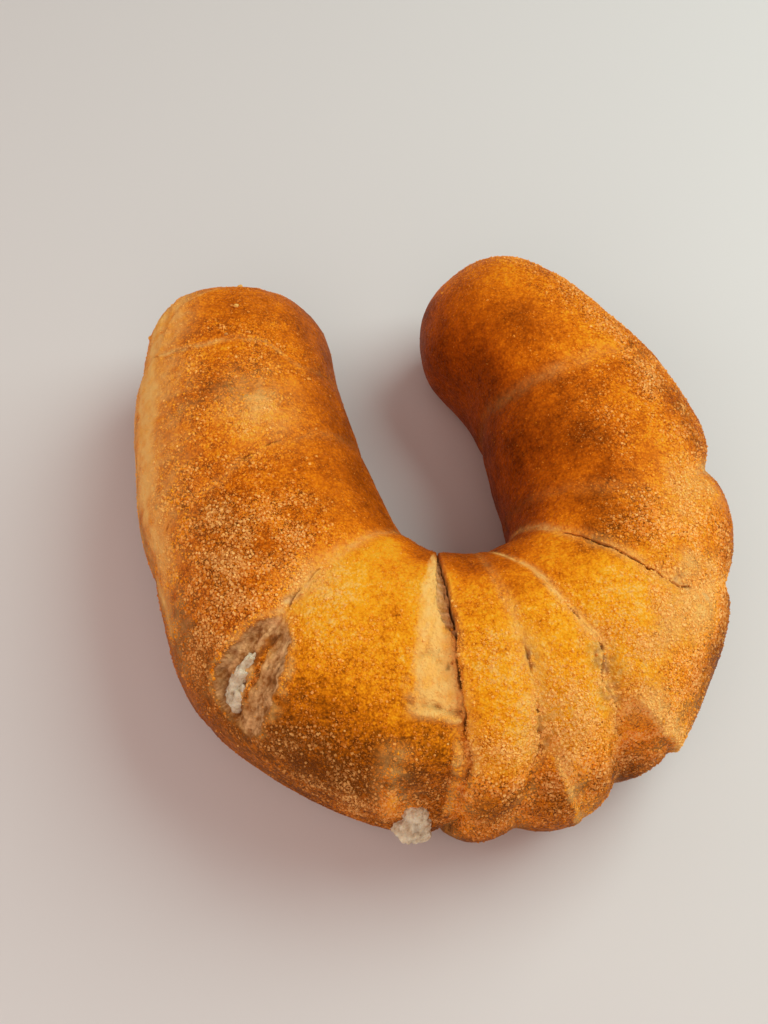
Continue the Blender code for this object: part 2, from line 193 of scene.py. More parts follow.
# The seams, where one turn of dough lies over the next. "line" is (around, along) down the seam,
# and "jag" is its meander in mm. Rows of five are values at 0, 45, 90, 135 and 180 degrees: the
# depths of "valley" and "crack" and the height of "lip" in mm, "fold" as how much the turns on
# both sides dip to the seam, and "bare" as the amount of unbrowned dough. "splits" are short
# cracks: angle, half-angle, depth and half-width in mm. The dough on top is that on the far side
# of the line where "over" is 1, and it reaches over by "slide" in mm.
seams = {
    "leftEnd": {
        "line": (
            (0, 0.084), (45, 0.0951), (68, 0.1012), (84, 0.1005), (89, 0.0974), (101, 0.102),
            (107, 0.1051), (113, 0.1159), (121, 0.1282), (133, 0.1297), (180, 0.128),
        ),
        "valley": (0.4, 0.25, 0.1, 0.1, 0.2), "valleyWidth": 1.3, "fold": (0.6, 0.4, 0.25, 0.2, 0.2),
        "crack": (0.3, 0.4, 0.3, 0.2, 0.1), "splits": (), "lip": (0.2, 0.3, 0.22, 0.1, 0.1), "over": -1,
        "slide": 0.25, "jag": 0.3, "bare": (0.6, 0.8, 0.5, 0.1, 0), "bareWidth": 0.8,
    },
    "leftArm": {
        "line": (
            (0, 0.266), (29, 0.2604), (45, 0.259), (57, 0.2505), (75, 0.2435), (86, 0.2297), (93, 0.2204),
            (108, 0.2151), (135, 0.208), (180, 0.204),
        ),
        "valley": (0.4, 0.3, 0.2, 0.2, 0.2), "valleyWidth": 2.6, "fold": (0.6, 0.5, 0.3, 0.3, 0.3),
        "crack": (0, 0, 0, 0, 0),
        "splits": (
            (45, 3.2, 1.1, 0.45), (60, 4.6, 1.2, 0.55), (77, 2, 0.7, 0.4), (89, 3.2, 1.2, 0.5),
            (99, 4, 1.1, 0.45),
        ),
        "lip": (0, 0.1, 0.12, 0.05, 0), "over": 1, "slide": 0.1, "jag": 1,
        "bare": (0.3, 0.25, 0.16, 0.06, 0), "bareWidth": 1.5,
    },
    "leftTear": {
        "line": (
            (0, 0.35), (18, 0.362), (48, 0.364), (74, 0.36), (80, 0.354), (88, 0.3497), (94, 0.3443),
            (98, 0.3443), (135, 0.342), (180, 0.34),
        ),
        "valley": (0.1, 0.7, 0.5, 0.2, 0.2), "valleyWidth": 2.8, "fold": (0.6, 0.8, 0.6, 0.3, 0.3),
        "crack": (0, 0, 0, 0, 0), "splits": ((84, 4, 0.8, 0.45), (93, 3, 0.5, 0.35)),
        "lip": (0, 0, 0.1, 0.05, 0), "over": 1, "slide": 0.1, "jag": 0.7, "bare": (0, 0.2, 0.6, 0.2, 0.1),
        "bareWidth": 1.8,
    },
    "centreSplit": {
        "line": (
            (0, 0.474), (23, 0.4742), (48, 0.4765), (58, 0.475), (72, 0.4727), (84, 0.4712), (96, 0.4696),
            (107, 0.4665), (120, 0.4573), (134, 0.445), (148, 0.4335), (180, 0.424),
        ),
        "valley": (1.1, 0.7, 0, 0, 0.5), "valleyWidth": 1.6, "fold": (1, 1, 0.8, 0.6, 0.8),
        "crack": (0.5, 0.5, 1.5, 1.2, 0.3),
        "splits": ((62, 8, 1, 0.5), (46, 4, 0.7, 0.5), (100, 8, 1.8, 0.5)),
        "lip": (0.2, 0.35, 0.5, 0.3, 0.1), "over": 1, "slide": 0.5, "jag": 0.5,
        "bare": (0.3, 0.5, 0.2, 0.1, 0.1), "bareWidth": 1.2,
    },
    "firstPleat": {
        "line": (
            (0, 0.497), (20, 0.5004), (33, 0.5042), (44, 0.5088), (65, 0.5112), (80, 0.5142),
            (94, 0.5165), (103, 0.5173), (109, 0.5142), (130, 0.516), (180, 0.52),
        ),
        "valley": (1.3, 1.6, 0.4, 0.12, 0.1), "valleyWidth": 2.6, "fold": (1, 1, 0.35, 0.15, 0.15),
        "crack": (0.3, 0.3, 0, 0, 0), "splits": ((82, 5, 0.7, 0.6), (62, 5, 0.6, 0.5), (46, 9, 0.9, 0.6)),
        "lip": (0.2, 0.3, 0.1, 0, 0), "over": -1, "slide": 0.25, "jag": 0.6,
        "bare": (0.2, 0.35, 0.35, 0.1, 0.1), "bareWidth": 1.4,
    },
    "secondPleat": {
        "line": (
            (0, 0.548), (25, 0.5485), (41, 0.5504), (58, 0.55), (66, 0.55), (70, 0.555), (76, 0.56),
            (88, 0.5573), (98, 0.5573), (107, 0.5596), (118, 0.5558), (129, 0.5465), (140, 0.5427),
            (180, 0.54),
        ),
        "valley": (1.7, 1.6, 0.8, 0.35, 0.2), "valleyWidth": 2.2, "fold": (1, 1, 0.6, 0.4, 0.3),
        "crack": (0.6, 0.6, 0.15, 0, 0),
        "splits": ((90, 2.5, 0.8, 0.5), (76, 3, 1.1, 0.55), (67, 5, 0.9, 0.6), (38, 7, 0.6, 0.5)),
        "lip": (0.4, 0.4, 0.3, 0.2, 0.1), "over": -1, "slide": 0.3, "jag": 0.5,
        "bare": (0.2, 0.4, 0.6, 0.7, 0.4), "bareWidth": 1.1,
    },
    "rightSlit": {
        "line": (
            (0, 0.664), (30, 0.6496), (48, 0.6357), (59, 0.625), (70, 0.6211), (83, 0.6234), (91, 0.6257),
            (105, 0.6265), (121, 0.6288), (143, 0.6419), (180, 0.655),
        ),
        "valley": (0.7, 0.9, 0.6, 0.5, 0.4), "valleyWidth": 2, "fold": (0.8, 1, 0.8, 0.6, 0.5),
        "crack": (0.1, 0.1, 0, 0, 0),
        "splits": ((96, 24, 1.3, 0.42), (86, 10, 1.6, 0.5), (64, 7, 0.6, 0.4)),
        "lip": (0.1, 0.2, 0.25, 0.2, 0.1), "over": 1, "slide": 0.3, "jag": 0.5,
        "bare": (0.4, 0.8, 0.35, 0.5, 0.5), "bareWidth": 1.7,
    },
    "rightNotch": {
        "line": (
            (0, 0.735), (22, 0.7311), (55, 0.7119), (68, 0.7011), (79, 0.6911), (104, 0.685), (135, 0.69),
            (180, 0.7),
        ),
        "valley": (2.1, 1.5, 0.3, 0.15, 0.2), "valleyWidth": 2.8, "fold": (1, 1, 0.4, 0.2, 0.2),
        "crack": (0.3, 0.1, 0, 0, 0), "splits": (), "lip": (0.3, 0.25, 0.05, 0, 0), "over": 1,
        "slide": 0.2, "jag": 0.6, "bare": (0.6, 0.5, 0.08, 0.05, 0.05), "bareWidth": 2.2,
    },
    "rightArm": {
        "line": (
            (0, 0.79), (45, 0.806), (74, 0.8218), (97, 0.8249), (115, 0.8265), (136, 0.8318),
            (166, 0.8457), (180, 0.846),
        ),
        "valley": (0.5, 0.2, 0.3, 0.6, 1.6), "valleyWidth": 2.6, "fold": (0.6, 0.4, 0.4, 0.8, 1.2),
        "crack": (0, 0, 0, 0, 0), "splits": (), "lip": (0.1, 0.1, 0.15, 0.2, 0.2), "over": 1,
        "slide": 0.05, "jag": 0.6, "bare": (0.05, 0.08, 0.13, 0.14, 0.08), "bareWidth": 2,
    },
}
degrees = np.arange(-40, 400)
for number, seam in enumerate(seams.values()):
    seam["seed"] = 11 + number
    # The drawn line, read at every degree and rounded off by a running mean over 9 degrees.
    drawnAt, drawn = zip(*seam["line"])
    read = np.interp(degrees % 360, [*drawnAt, 360], [*drawn, drawn[0]])
    seam["smooth"] = np.convolve(np.pad(read, 4, mode="edge"), np.ones(9) / 9, mode="valid")


# A seam's distance from the left end: the drawn line plus a meander of two wavelengths, which
# are shares of the section's radius.
def seamWay(seam, around):
    smooth = np.interp(around, degrees, seam["smooth"]) * rollLength
    angle = np.radians(around)
    circle = np.stack([np.cos(angle), np.sin(angle), np.zeros_like(around)], axis=-1)
    meander = spaceNoise(circle, 0.22, seam["seed"]) + 0.5 * spaceNoise(circle, 0.08, seam["seed"] + 50)
    return smooth + seam["jag"] * mm * meander


# A seam's distance from the left end on top of the roll, without its meander.
def seamTop(seam):
    return np.interp(90, degrees, seam["smooth"]) * rollLength


form = {
    "pillow": 0.9, "pillowLevel": 0.5,  # how far a turn swells in mm, and the share that stands proud
    "waveHeight": 0.5,  # mm
    "waves": ((0.45, 5, 2, 0.4), (0.35, 9, -3, 1.9), (0.25, 14, 1, 4.1)),  # share, count, twist, shift
    "innerCalm": 0.55,  # share of the relief that is lost on the inner side
    "swells": (  # along, around, half-length in mm, half-angle, height in mm
        (0.045, 15, 8, 35, -0.4), (0.15, 5, 16, 36, 0.5), (0.285, 5, 11, 36, -1.1),
        (0.354, 357, 8, 32, 1.5), (0.414, 352, 13, 35, -1.9), (0.4565, 42, 4.2, 15, 0.9),
        (0.5, 355, 14, 30, 0.8), (0.522, 346, 5, 26, 0.8), (0.576, 354, 6, 26, 1.1),
        (0.61, 24, 4.5, 26, -1.1), (0.663, 0, 7, 35, -1), (0.861, 10, 12, 35, 0.1),
        (0.95, 176, 9, 40, 2.3), (0.76, 172, 14, 44, 2.2), (0.7, 172, 7, 40, 0.9),
        (0.872, 172, 7, 40, -0.8),
    ),
    "pockets": (  # along, around, half-length in mm, half-angle, depth in mm
        (0.46, 14, 4.8, 34, 3), (0.5075, 36, 3.2, 24, 0.9), (0.551, 20, 4, 32, 2.2),
    ),
    "flankFolds": 0.45, "footLayers": 0.3, "stretchLines": 0.13, "crinkles": 0.08,  # heights in mm
}
split = {
    "width": (  # around, mm
        (0, 3), (45, 6.8), (65, 8.4), (90, 9), (100, 9.6), (111, 9.4), (125, 7), (139, 4), (150, 1.8),
    ),
    "depth": (1.3, 1.6, 1.9, 1.3, 0.7),  # of the stretched dough at the crack, mm
    "fibres": 0.26, "puffs": 0.38, "pits": 0.35,  # heights and depth on the stretched dough, mm
    "channel": ((93, 0), (99, 2.8), (108, 3.9), (121, 3.2), (133, 1.5), (145, 0.3)),  # around, mm
    "channelDepth": 0.9, "rungs": 0.3,  # mm
    "foldAngle": 65, "foldHeight": 1.0, "creviceDepth": 0.9,  # a pinched fold across the split, mm
    "crookAngle": 88, "crookDepth": 0.3,  # a small bent crease above it
}
tear = {
    "middle": 0.364,  # along
    "angles": (17, 20, 26, 37, 50, 63, 71, 79),
    "left": (0.37, 0.365, 0.3535, 0.3473, 0.3466, 0.3466, 0.3497, 0.3545),  # along
    "right": (0.3745, 0.379, 0.3815, 0.3822, 0.3815, 0.377, 0.3725, 0.356),
    "depth": 2.3,  # mm, at the deepest place
    # Shares of the depth and brightness of the crumb, from the left wall at 0 to the right one at 1.
    "profile": (
        (0, 0.25), (0.1, 1), (0.3, 0.9), (0.42, 0.5), (0.6, 0.42), (0.74, 0.55), (0.86, 0.35), (1, 0),
    ),
    "brightness": (
        (0, 0.5), (0.15, 0.4), (0.35, 0.5), (0.5, 0.15), (0.7, 0.2), (0.85, 0.35), (1, 0.65),
    ),
    "strands": 0.55, "shreds": 0.45, "cleft": 0.5, "rim": 0.2,  # heights and depth in mm
}
# Short overlaps that don't run all the way round: the line, the step up with its width and its
# reach behind the line in mm, and the bare dough. "side" 1 has the step's top on the far side of
# the line, and "bareSide" is the side with the bare dough, or 0 for both.
creases = {
    "tipFold": {
        "line": (
            (38, 0.098), (51, 0.0851), (54, 0.0674), (61, 0.052), (72, 0.042), (85, 0.0274), (110, 0.02),
        ),
        "step": 0.9, "width": 0.5, "reach": 4.5, "side": 1, "bare": 0.8, "bareSide": -1,
    },
    "tipInner": {
        "line": ((36, 0.075), (42, 0.06), (47, 0.0343), (75, 0.02), (95, 0.015)), "step": 0.7,
        "width": 0.4, "reach": 2.6, "side": 1, "bare": 0.7, "bareSide": -1,
    },
    "lobePlait": {
        "line": ((-16, 0.5273), (12, 0.5196), (30, 0.5165), (44, 0.5135)), "step": 0.6, "width": 0.6,
        "reach": 2.4, "side": -1, "bare": 0.75, "bareSide": 1,
    },
    "footLeft": {
        "line": ((2, 0.449), (28, 0.444), (52, 0.4422)), "step": 0.6, "width": 1, "reach": 3.4,
        "side": -1, "bare": 0.6, "bareSide": 0,
    },
    "outerLobe": {
        "line": ((-10, 0.579), (4, 0.5755), (24, 0.5665), (39, 0.5627), (50, 0.56)), "step": 1.2,
        "width": 0.8, "reach": 2.8, "side": 1, "bare": 1.4, "bareSide": 1,
    },
    "footRight": {
        "line": ((4, 0.468), (31, 0.4689), (56, 0.4704)), "step": 0.7, "width": 0.7, "reach": 2,
        "side": 1, "bare": 0.65, "bareSide": 1,
    },
}


# What the relief is worked out from at "here", the places asked for: the sums so far, the seams'
# lines, and the noise that frays every edge. Edge noise varies round the roll only.
def startSkin(way, around):
    here = SimpleNamespace(way=way, around=around, turned=unrolled(around), level=np.zeros_like(way))
    here.relief, here.slide = np.zeros_like(way), np.zeros_like(way)
    # The tone for cracks is painted shade, in cracks, crevices, pits and the tear's hollows.
    names = ("browning", "yellow", "pale", "torn", "paintedShade", "sugar")
    here.tones = {name: np.zeros_like(way) for name in names}
    here.noise = partial(skinNoise, way, around)
    here.edgeNoise = partial(skinNoise, here.level, around, 1)
    here.patch = partial(patch, way, around)
    here.ragged = here.noise(1.6, 2.2, 21) + 0.6 * here.noise(0.7, 0.8, 22)
    here.lines = {name: seamWay(seam, around) for name, seam in seams.items()}
    return here


# Lifts a tone to the given values where they are higher.
def raiseTone(here, tone, values):
    here.tones[tone] = np.maximum(here.tones[tone], values)


# Turns swell between their seams and dip to them by |2 share - 1|^2.5, and slow sine waves make
# them uneven.
def addTurns(here):
    edges = [here.level, *here.lines.values(), np.full_like(here.way, rollLength)]
    folds = [readAround(seam["fold"], here.around) for seam in seams.values()]
    folds = [1 + here.level, *folds, 1 + here.level]
    for near, far, nearFold, farFold in zip(edges, edges[1:], folds, folds[1:]):
        share = (here.way - near) / (far - near)
        inside = (share >= 0) & (share < 1)
        sink = np.where(share < 0.5, nearFold, farFold) * np.abs(2 * share - 1) ** 2.5
        here.relief += np.where(inside, form["pillow"] * (form["pillowLevel"] - sink), 0)
    turns, angle = 2 * np.pi * here.way / rollLength, np.radians(here.around)
    here.relief += form["waveHeight"] * sum(share * np.sin(count * turns + twist * angle + shift)
                                            for share, count, twist, shift in form["waves"])


# Seams: a bell-shaped valley, a crack that fades by (1 - distance / width)^0.7 and is deeper in its
# splits, and a lip that dies away by exp(-distance / 2.2) on the side that lies on top.
def addSeams(here):
    for name, seam in seams.items():
        off = (here.way - here.lines[name]) / mm
        top = off * seam["over"]  # above 0 on the side that lies on top
        off = off + 0.16 * here.ragged
        torn = here.edgeNoise(1.0, seam["seed"] + 71)
        broken = np.clip(0.6 + 0.8 * here.edgeNoise(4, seam["seed"] + 70) + 0.7 * torn, 0, None)
        crack = readAround(seam["crack"], here.around) * broken
        width = 0.32 + 0.1 * crack
        for middle, half, depth, halfWidth in seam["splits"]:
            shape = np.sqrt(np.clip(1 - (signedAngle(here.around - middle) / half) ** 2, 0, 1))
            shape *= np.clip(0.8 + torn, 0.1, 1.2)
            crack = np.maximum(crack, depth * shape)
            width = np.maximum(width, halfWidth * shape)
        steep = np.clip(1 - np.abs(off) / np.maximum(width, 0.12), 0, 1) ** 0.7
        here.relief -= readAround(seam["valley"], here.around) * bell(off / seam["valleyWidth"])
        here.relief -= crack * steep
        lip = readAround(seam["lip"], here.around)
        edge = np.where(top > 0, np.exp(-np.clip(top, 0, 60) / 2.2), bell(top / 0.35))
        here.relief += lip * edge * (1 + 0.35 * here.ragged)
        overlap = np.clip(crack / 0.8 + lip, 0, 1) * smoothStep(0, 0.45, top)
        here.slide += seam["over"] * seam["slide"] * (overlap * np.exp(-np.clip(top, 0, 9) / 1.3))
        # Painted shade in the cracks.
        raiseTone(here, "paintedShade", 0.8 * np.clip(crack, 0, 1) * steep)
        bare = readAround(seam["bare"], here.around) * bell(off / seam["bareWidth"])
        raiseTone(here, "pale", bare * np.clip(0.9 + 0.8 * here.ragged, 0.1, 1.5))


# Short overlaps: a step up at the line that dies away by exp(-distance / reach) behind it, with a
# groove in front of it. The bare dough lies on one side of the line, or on both.
def addCreases(here):
    for number, crease in enumerate(creases.values()):
        at, alongs = zip(*crease["line"])
        fade = smoothStep(at[0] - 4, at[0] + 5, here.turned) * smoothStep(at[-1] + 4, at[-1] - 8, here.turned)
        meander = 0.5 * here.edgeNoise(5, 33 + number) + 0.2 * here.ragged
        line = np.interp(here.turned, at, alongs) * rollLength
        off = (here.way - line) / mm * crease["side"] + meander
        behind = smoothStep(-crease["width"], 0.1, off) * np.exp(-np.clip(off, 0, 60) / crease["reach"])
        here.relief += fade * crease["step"] * (behind - 0.35 * bell((off + crease["width"]) / 0.7))
        glow = bell(off / 1.6)
        if crease["bareSide"]:
            side = off * crease["side"] * crease["bareSide"]
            glow = np.exp(-np.abs(side - 0.4) / 1.5) * (side > -0.4)
        raiseTone(here, "pale", fade * crease["bare"] * glow * np.clip(0.85 + 0.7 * here.ragged, 0, 1.4))


# The centre split: pale stretched dough that slopes down by a smooth step to the crack under the
# right lip, with fibres, puffs and pits on it, and painted shade in the pits.
def addSplit(here):
    off = (here.way - here.lines["centreSplit"]) / mm
    left = off < 0
    wall = bell(off / 0.35)  # carries the depth over to the crack's other side
    clear = smoothStep(0, -0.6, off)
    width = readPairs(split["width"], here.turned) * (1 + 0.12 * here.edgeNoise(5, 41))
    ramp = np.clip(1 + off / width, 0, 1) * left
    here.relief -= readAround(split["depth"], here.around) * np.where(left, smoothStep(0, 1, ramp), wall)
    band = smoothStep(0.0, 0.34, ramp + 0.16 * here.ragged * (ramp > 0)) * left
    foldAngle = split["foldAngle"]
    band *= smoothStep(foldAngle - 4, foldAngle + 1, here.turned) * smoothStep(146, 132, here.turned)
    fibres = here.noise(1.4, 2.8, 42) + 0.6 * here.noise(0.6, 0.9, 43)
    raiseTone(here, "pale", band * np.clip(0.88 + 0.30 * fibres, 0, 1))
    here.relief += clear * band * (split["fibres"] * fibres + split["puffs"] * here.noise(2.6, 4.2, 49))
    pits = smoothStep(0.42, 0.62, here.noise(0.9, 1.3, 44)) * band * smoothStep(0.45, 0.8, ramp)
    here.relief -= split["pits"] * clear * pits
    # Painted shade in the pits.
    raiseTone(here, "paintedShade", 0.5 * pits)
    addChannel(here, off, left, wall)
    addFold(here, off, ramp)


# The torn channel left of the crack, with rungs of stretched crumb across it and painted shade
# along its brink.
def addChannel(here, off, left, wall):
    width = np.interp(here.turned, *zip(*split["channel"]), left=0, right=0)
    inside = np.where(left, smoothStep(0, 0.3, width + off), wall) * (width > 0.05)
    rungs = here.noise(4, 0.75, 45)
    here.relief -= inside * (split["channelDepth"] - split["rungs"] * rungs)
    raiseTone(here, "torn", inside * np.clip(0.85 + 0.4 * rungs, 0, 1))
    here.tones["pale"] = np.where(inside > 0.5, 0.55 + 0.4 * rungs, here.tones["pale"])
    # Painted shade along the brink.
    raiseTone(here, "paintedShade", bell((off + width) / 0.3) * (width > 0.3) * np.clip(0.25 + 0.8 * rungs, 0, 0.7))


# The pinched fold: a bell-shaped ridge across the stretched dough, a crevice 3.6 degrees above
# it, and a bent crease higher up, with painted shade in the crevice and the crease.
def addFold(here, off, ramp):
    lifts = split["foldAngle"] - 3.0 * (ramp - 0.4) + 2.6 * here.noise(2.2, 90, 46)
    ridge = bell((here.turned - lifts) / 1.7) * (0.8 + 0.5 * here.noise(1.1, 30, 48))
    crevice = bell((here.turned - lifts - 3.6) / 1.3) * np.clip(0.6 + 0.9 * here.noise(1.3, 30, 47), 0, 1.2)
    across = smoothStep(0.0, 0.25, ramp) * smoothStep(0, -0.8, off)
    here.relief += across * (split["foldHeight"] * ridge - split["creviceDepth"] * crevice)
    raiseTone(here, "pale", across * ridge * 0.95)
    crook = bell((here.turned - split["crookAngle"] + 9 * np.abs(ramp - 0.45)) / 1.1)
    crook *= smoothStep(0.15, 0.35, ramp) * smoothStep(0.8, 0.6, ramp)
    here.relief -= split["crookDepth"] * crook
    # Painted shade in the crevice and the crease.
    raiseTone(here, "paintedShade", np.maximum(0.45 * across * crevice, 0.22 * crook))


# The torn hollow: a lens between two ragged walls. Its depth follows the profile from the left
# wall to the right one, less the strands and shreds of crumb, and a curled rim runs round it.
# Painted shade lies on the left wall, between the strands, in the cleft and in spots near the right wall.
def addTear(here):
    nearSide = np.interp(here.turned, tear["angles"], tear["left"]) * rollLength + 0.45 * mm * here.ragged
    farSide = np.interp(here.turned, tear["angles"], tear["right"]) * rollLength + 0.55 * mm * here.ragged
    lens = np.clip(np.minimum(here.way - nearSide, farSide - here.way) / mm, -9, 9)
    first, last = tear["angles"][0], tear["angles"][-1]
    ends = smoothStep(first, first + 6, here.turned) * smoothStep(last, last - 8, here.turned)
    inside = smoothStep(-0.1, 1.0, lens) * ends
    share = np.clip((here.way - nearSide) / np.maximum(farSide - nearSide, 0.5 * mm), 0, 1)
    strands = here.noise(1.2, 5, 51) + 0.7 * here.noise(0.55, 1.6, 52)
    shreds = here.noise(1.8, 2.6, 53)
    leaning = np.clip(share + 0.07 * here.edgeNoise(5, 54), 0, 1)
    depth = tear["depth"] * readPairs(tear["profile"], leaning) * (1 - 0.35 * smoothStep(55, 78, here.turned))
    cleft = bell((leaning - 0.93) / 0.04) * smoothStep(46, 54, here.turned)
    crumb = tear["strands"] * strands
    here.relief -= inside * (depth - crumb - tear["shreds"] * shreds * smoothStep(0.2, 0.4, share)
                             + tear["cleft"] * cleft)
    here.relief += tear["rim"] * bell((lens + 0.5) / 0.55) * ends * (1 + 0.5 * here.ragged)
    crusty = bell((leaning - 0.52) / 0.13) * smoothStep(24, 36, here.turned) * smoothStep(70, 60, here.turned)
    raiseTone(here, "torn", smoothStep(-0.1, 0.35, lens) * ends * (1 - 0.95 * crusty))
    bright = np.clip(readPairs(tear["brightness"], leaning) + 0.55 * strands + 0.5 * shreds, 0, 1)
    rim = np.maximum(here.tones["pale"], 0.35 * bell((lens + 0.5) / 0.7) * ends * (1 + here.ragged))
    here.tones["pale"] = np.where(inside > 0.3, bright, rim)
    # Painted shade of the hollow.
    wallShade = 0.8 * smoothStep(0.16, 0.07, leaning) * np.clip(0.5 + strands, 0, 1)
    shade = 0.6 * smoothStep(0.3, 0.9, -strands) + 0.4 * cleft + wallShade
    shade += 0.7 * smoothStep(0.3, 0.7, here.noise(0.8, 1.2, 55)) * smoothStep(0.6, 0.8, leaning)
    raiseTone(here, "paintedShade", inside * shade)


# Pockets sink by depth x (1 - reach^2)^1.2. Folds run along the pale left flank, fine layers near
# the base, and stretch lines on the inner rim of the bend. Crinkles on the outer half of the arms
# are thin raised lines where a noise passes through zero.
def addFineRelief(here):
    for along, middle, halfLength, halfAngle, depth in form["pockets"]:
        offAlong = (here.way - along * rollLength) / (halfLength * mm)
        reach = np.hypot(offAlong, (here.turned - middle) / halfAngle)
        here.relief -= depth * np.clip(1 - reach**2, 0, 1) ** 1.2
    flank = here.patch(0.05, 48, 13, 17) + 0.5 * here.patch(0.24, 30, 26, 12)
    here.relief += flank * form["flankFolds"] * here.noise(11, 2.3, 61)
    foot = bell((here.turned + 20) / 13) * (0.5 + 0.8 * here.patch(0.36, 350, 24, 60))
    here.relief += foot * form["footLayers"] * here.noise(14, 1.3, 62)
    here.relief += here.patch(0.54, 125, 26, 30) * form["stretchLines"] * here.noise(1.6, 14, 63)
    web = bell(here.noise(2.0, 1.5, 64) / 0.13) + 0.6 * bell(here.noise(1.1, 0.9, 65) / 0.15)
    web *= np.clip(here.patch(0.82, 62, 42, 30) + here.patch(0.17, 72, 30, 46), 0, 1)
    here.relief += form["crinkles"] * web
    here.tones["web"] = web


# All relief in millimetres, the slide of overlapping edges, the skin's tones, and how much of a
# place is shown. The relief is calmer on the inner side, and the swells come on top of it.
def skin(way, around):
    here = startSkin(way, around)
    for addRelief in (addTurns, addSeams, addCreases, addSplit, addTear, addFineRelief):
        addRelief(here)
    here.relief *= 1 - form["innerCalm"] * np.clip(-np.cos(np.radians(around)), 0, 1)
    for *place, height in form["swells"]:
        here.relief += height * here.patch(*place)
    shown = smoothStep(-14, 20, here.turned) * smoothStep(205, 175, here.turned)
    return here.relief, here.slide * mm, here.tones, shown


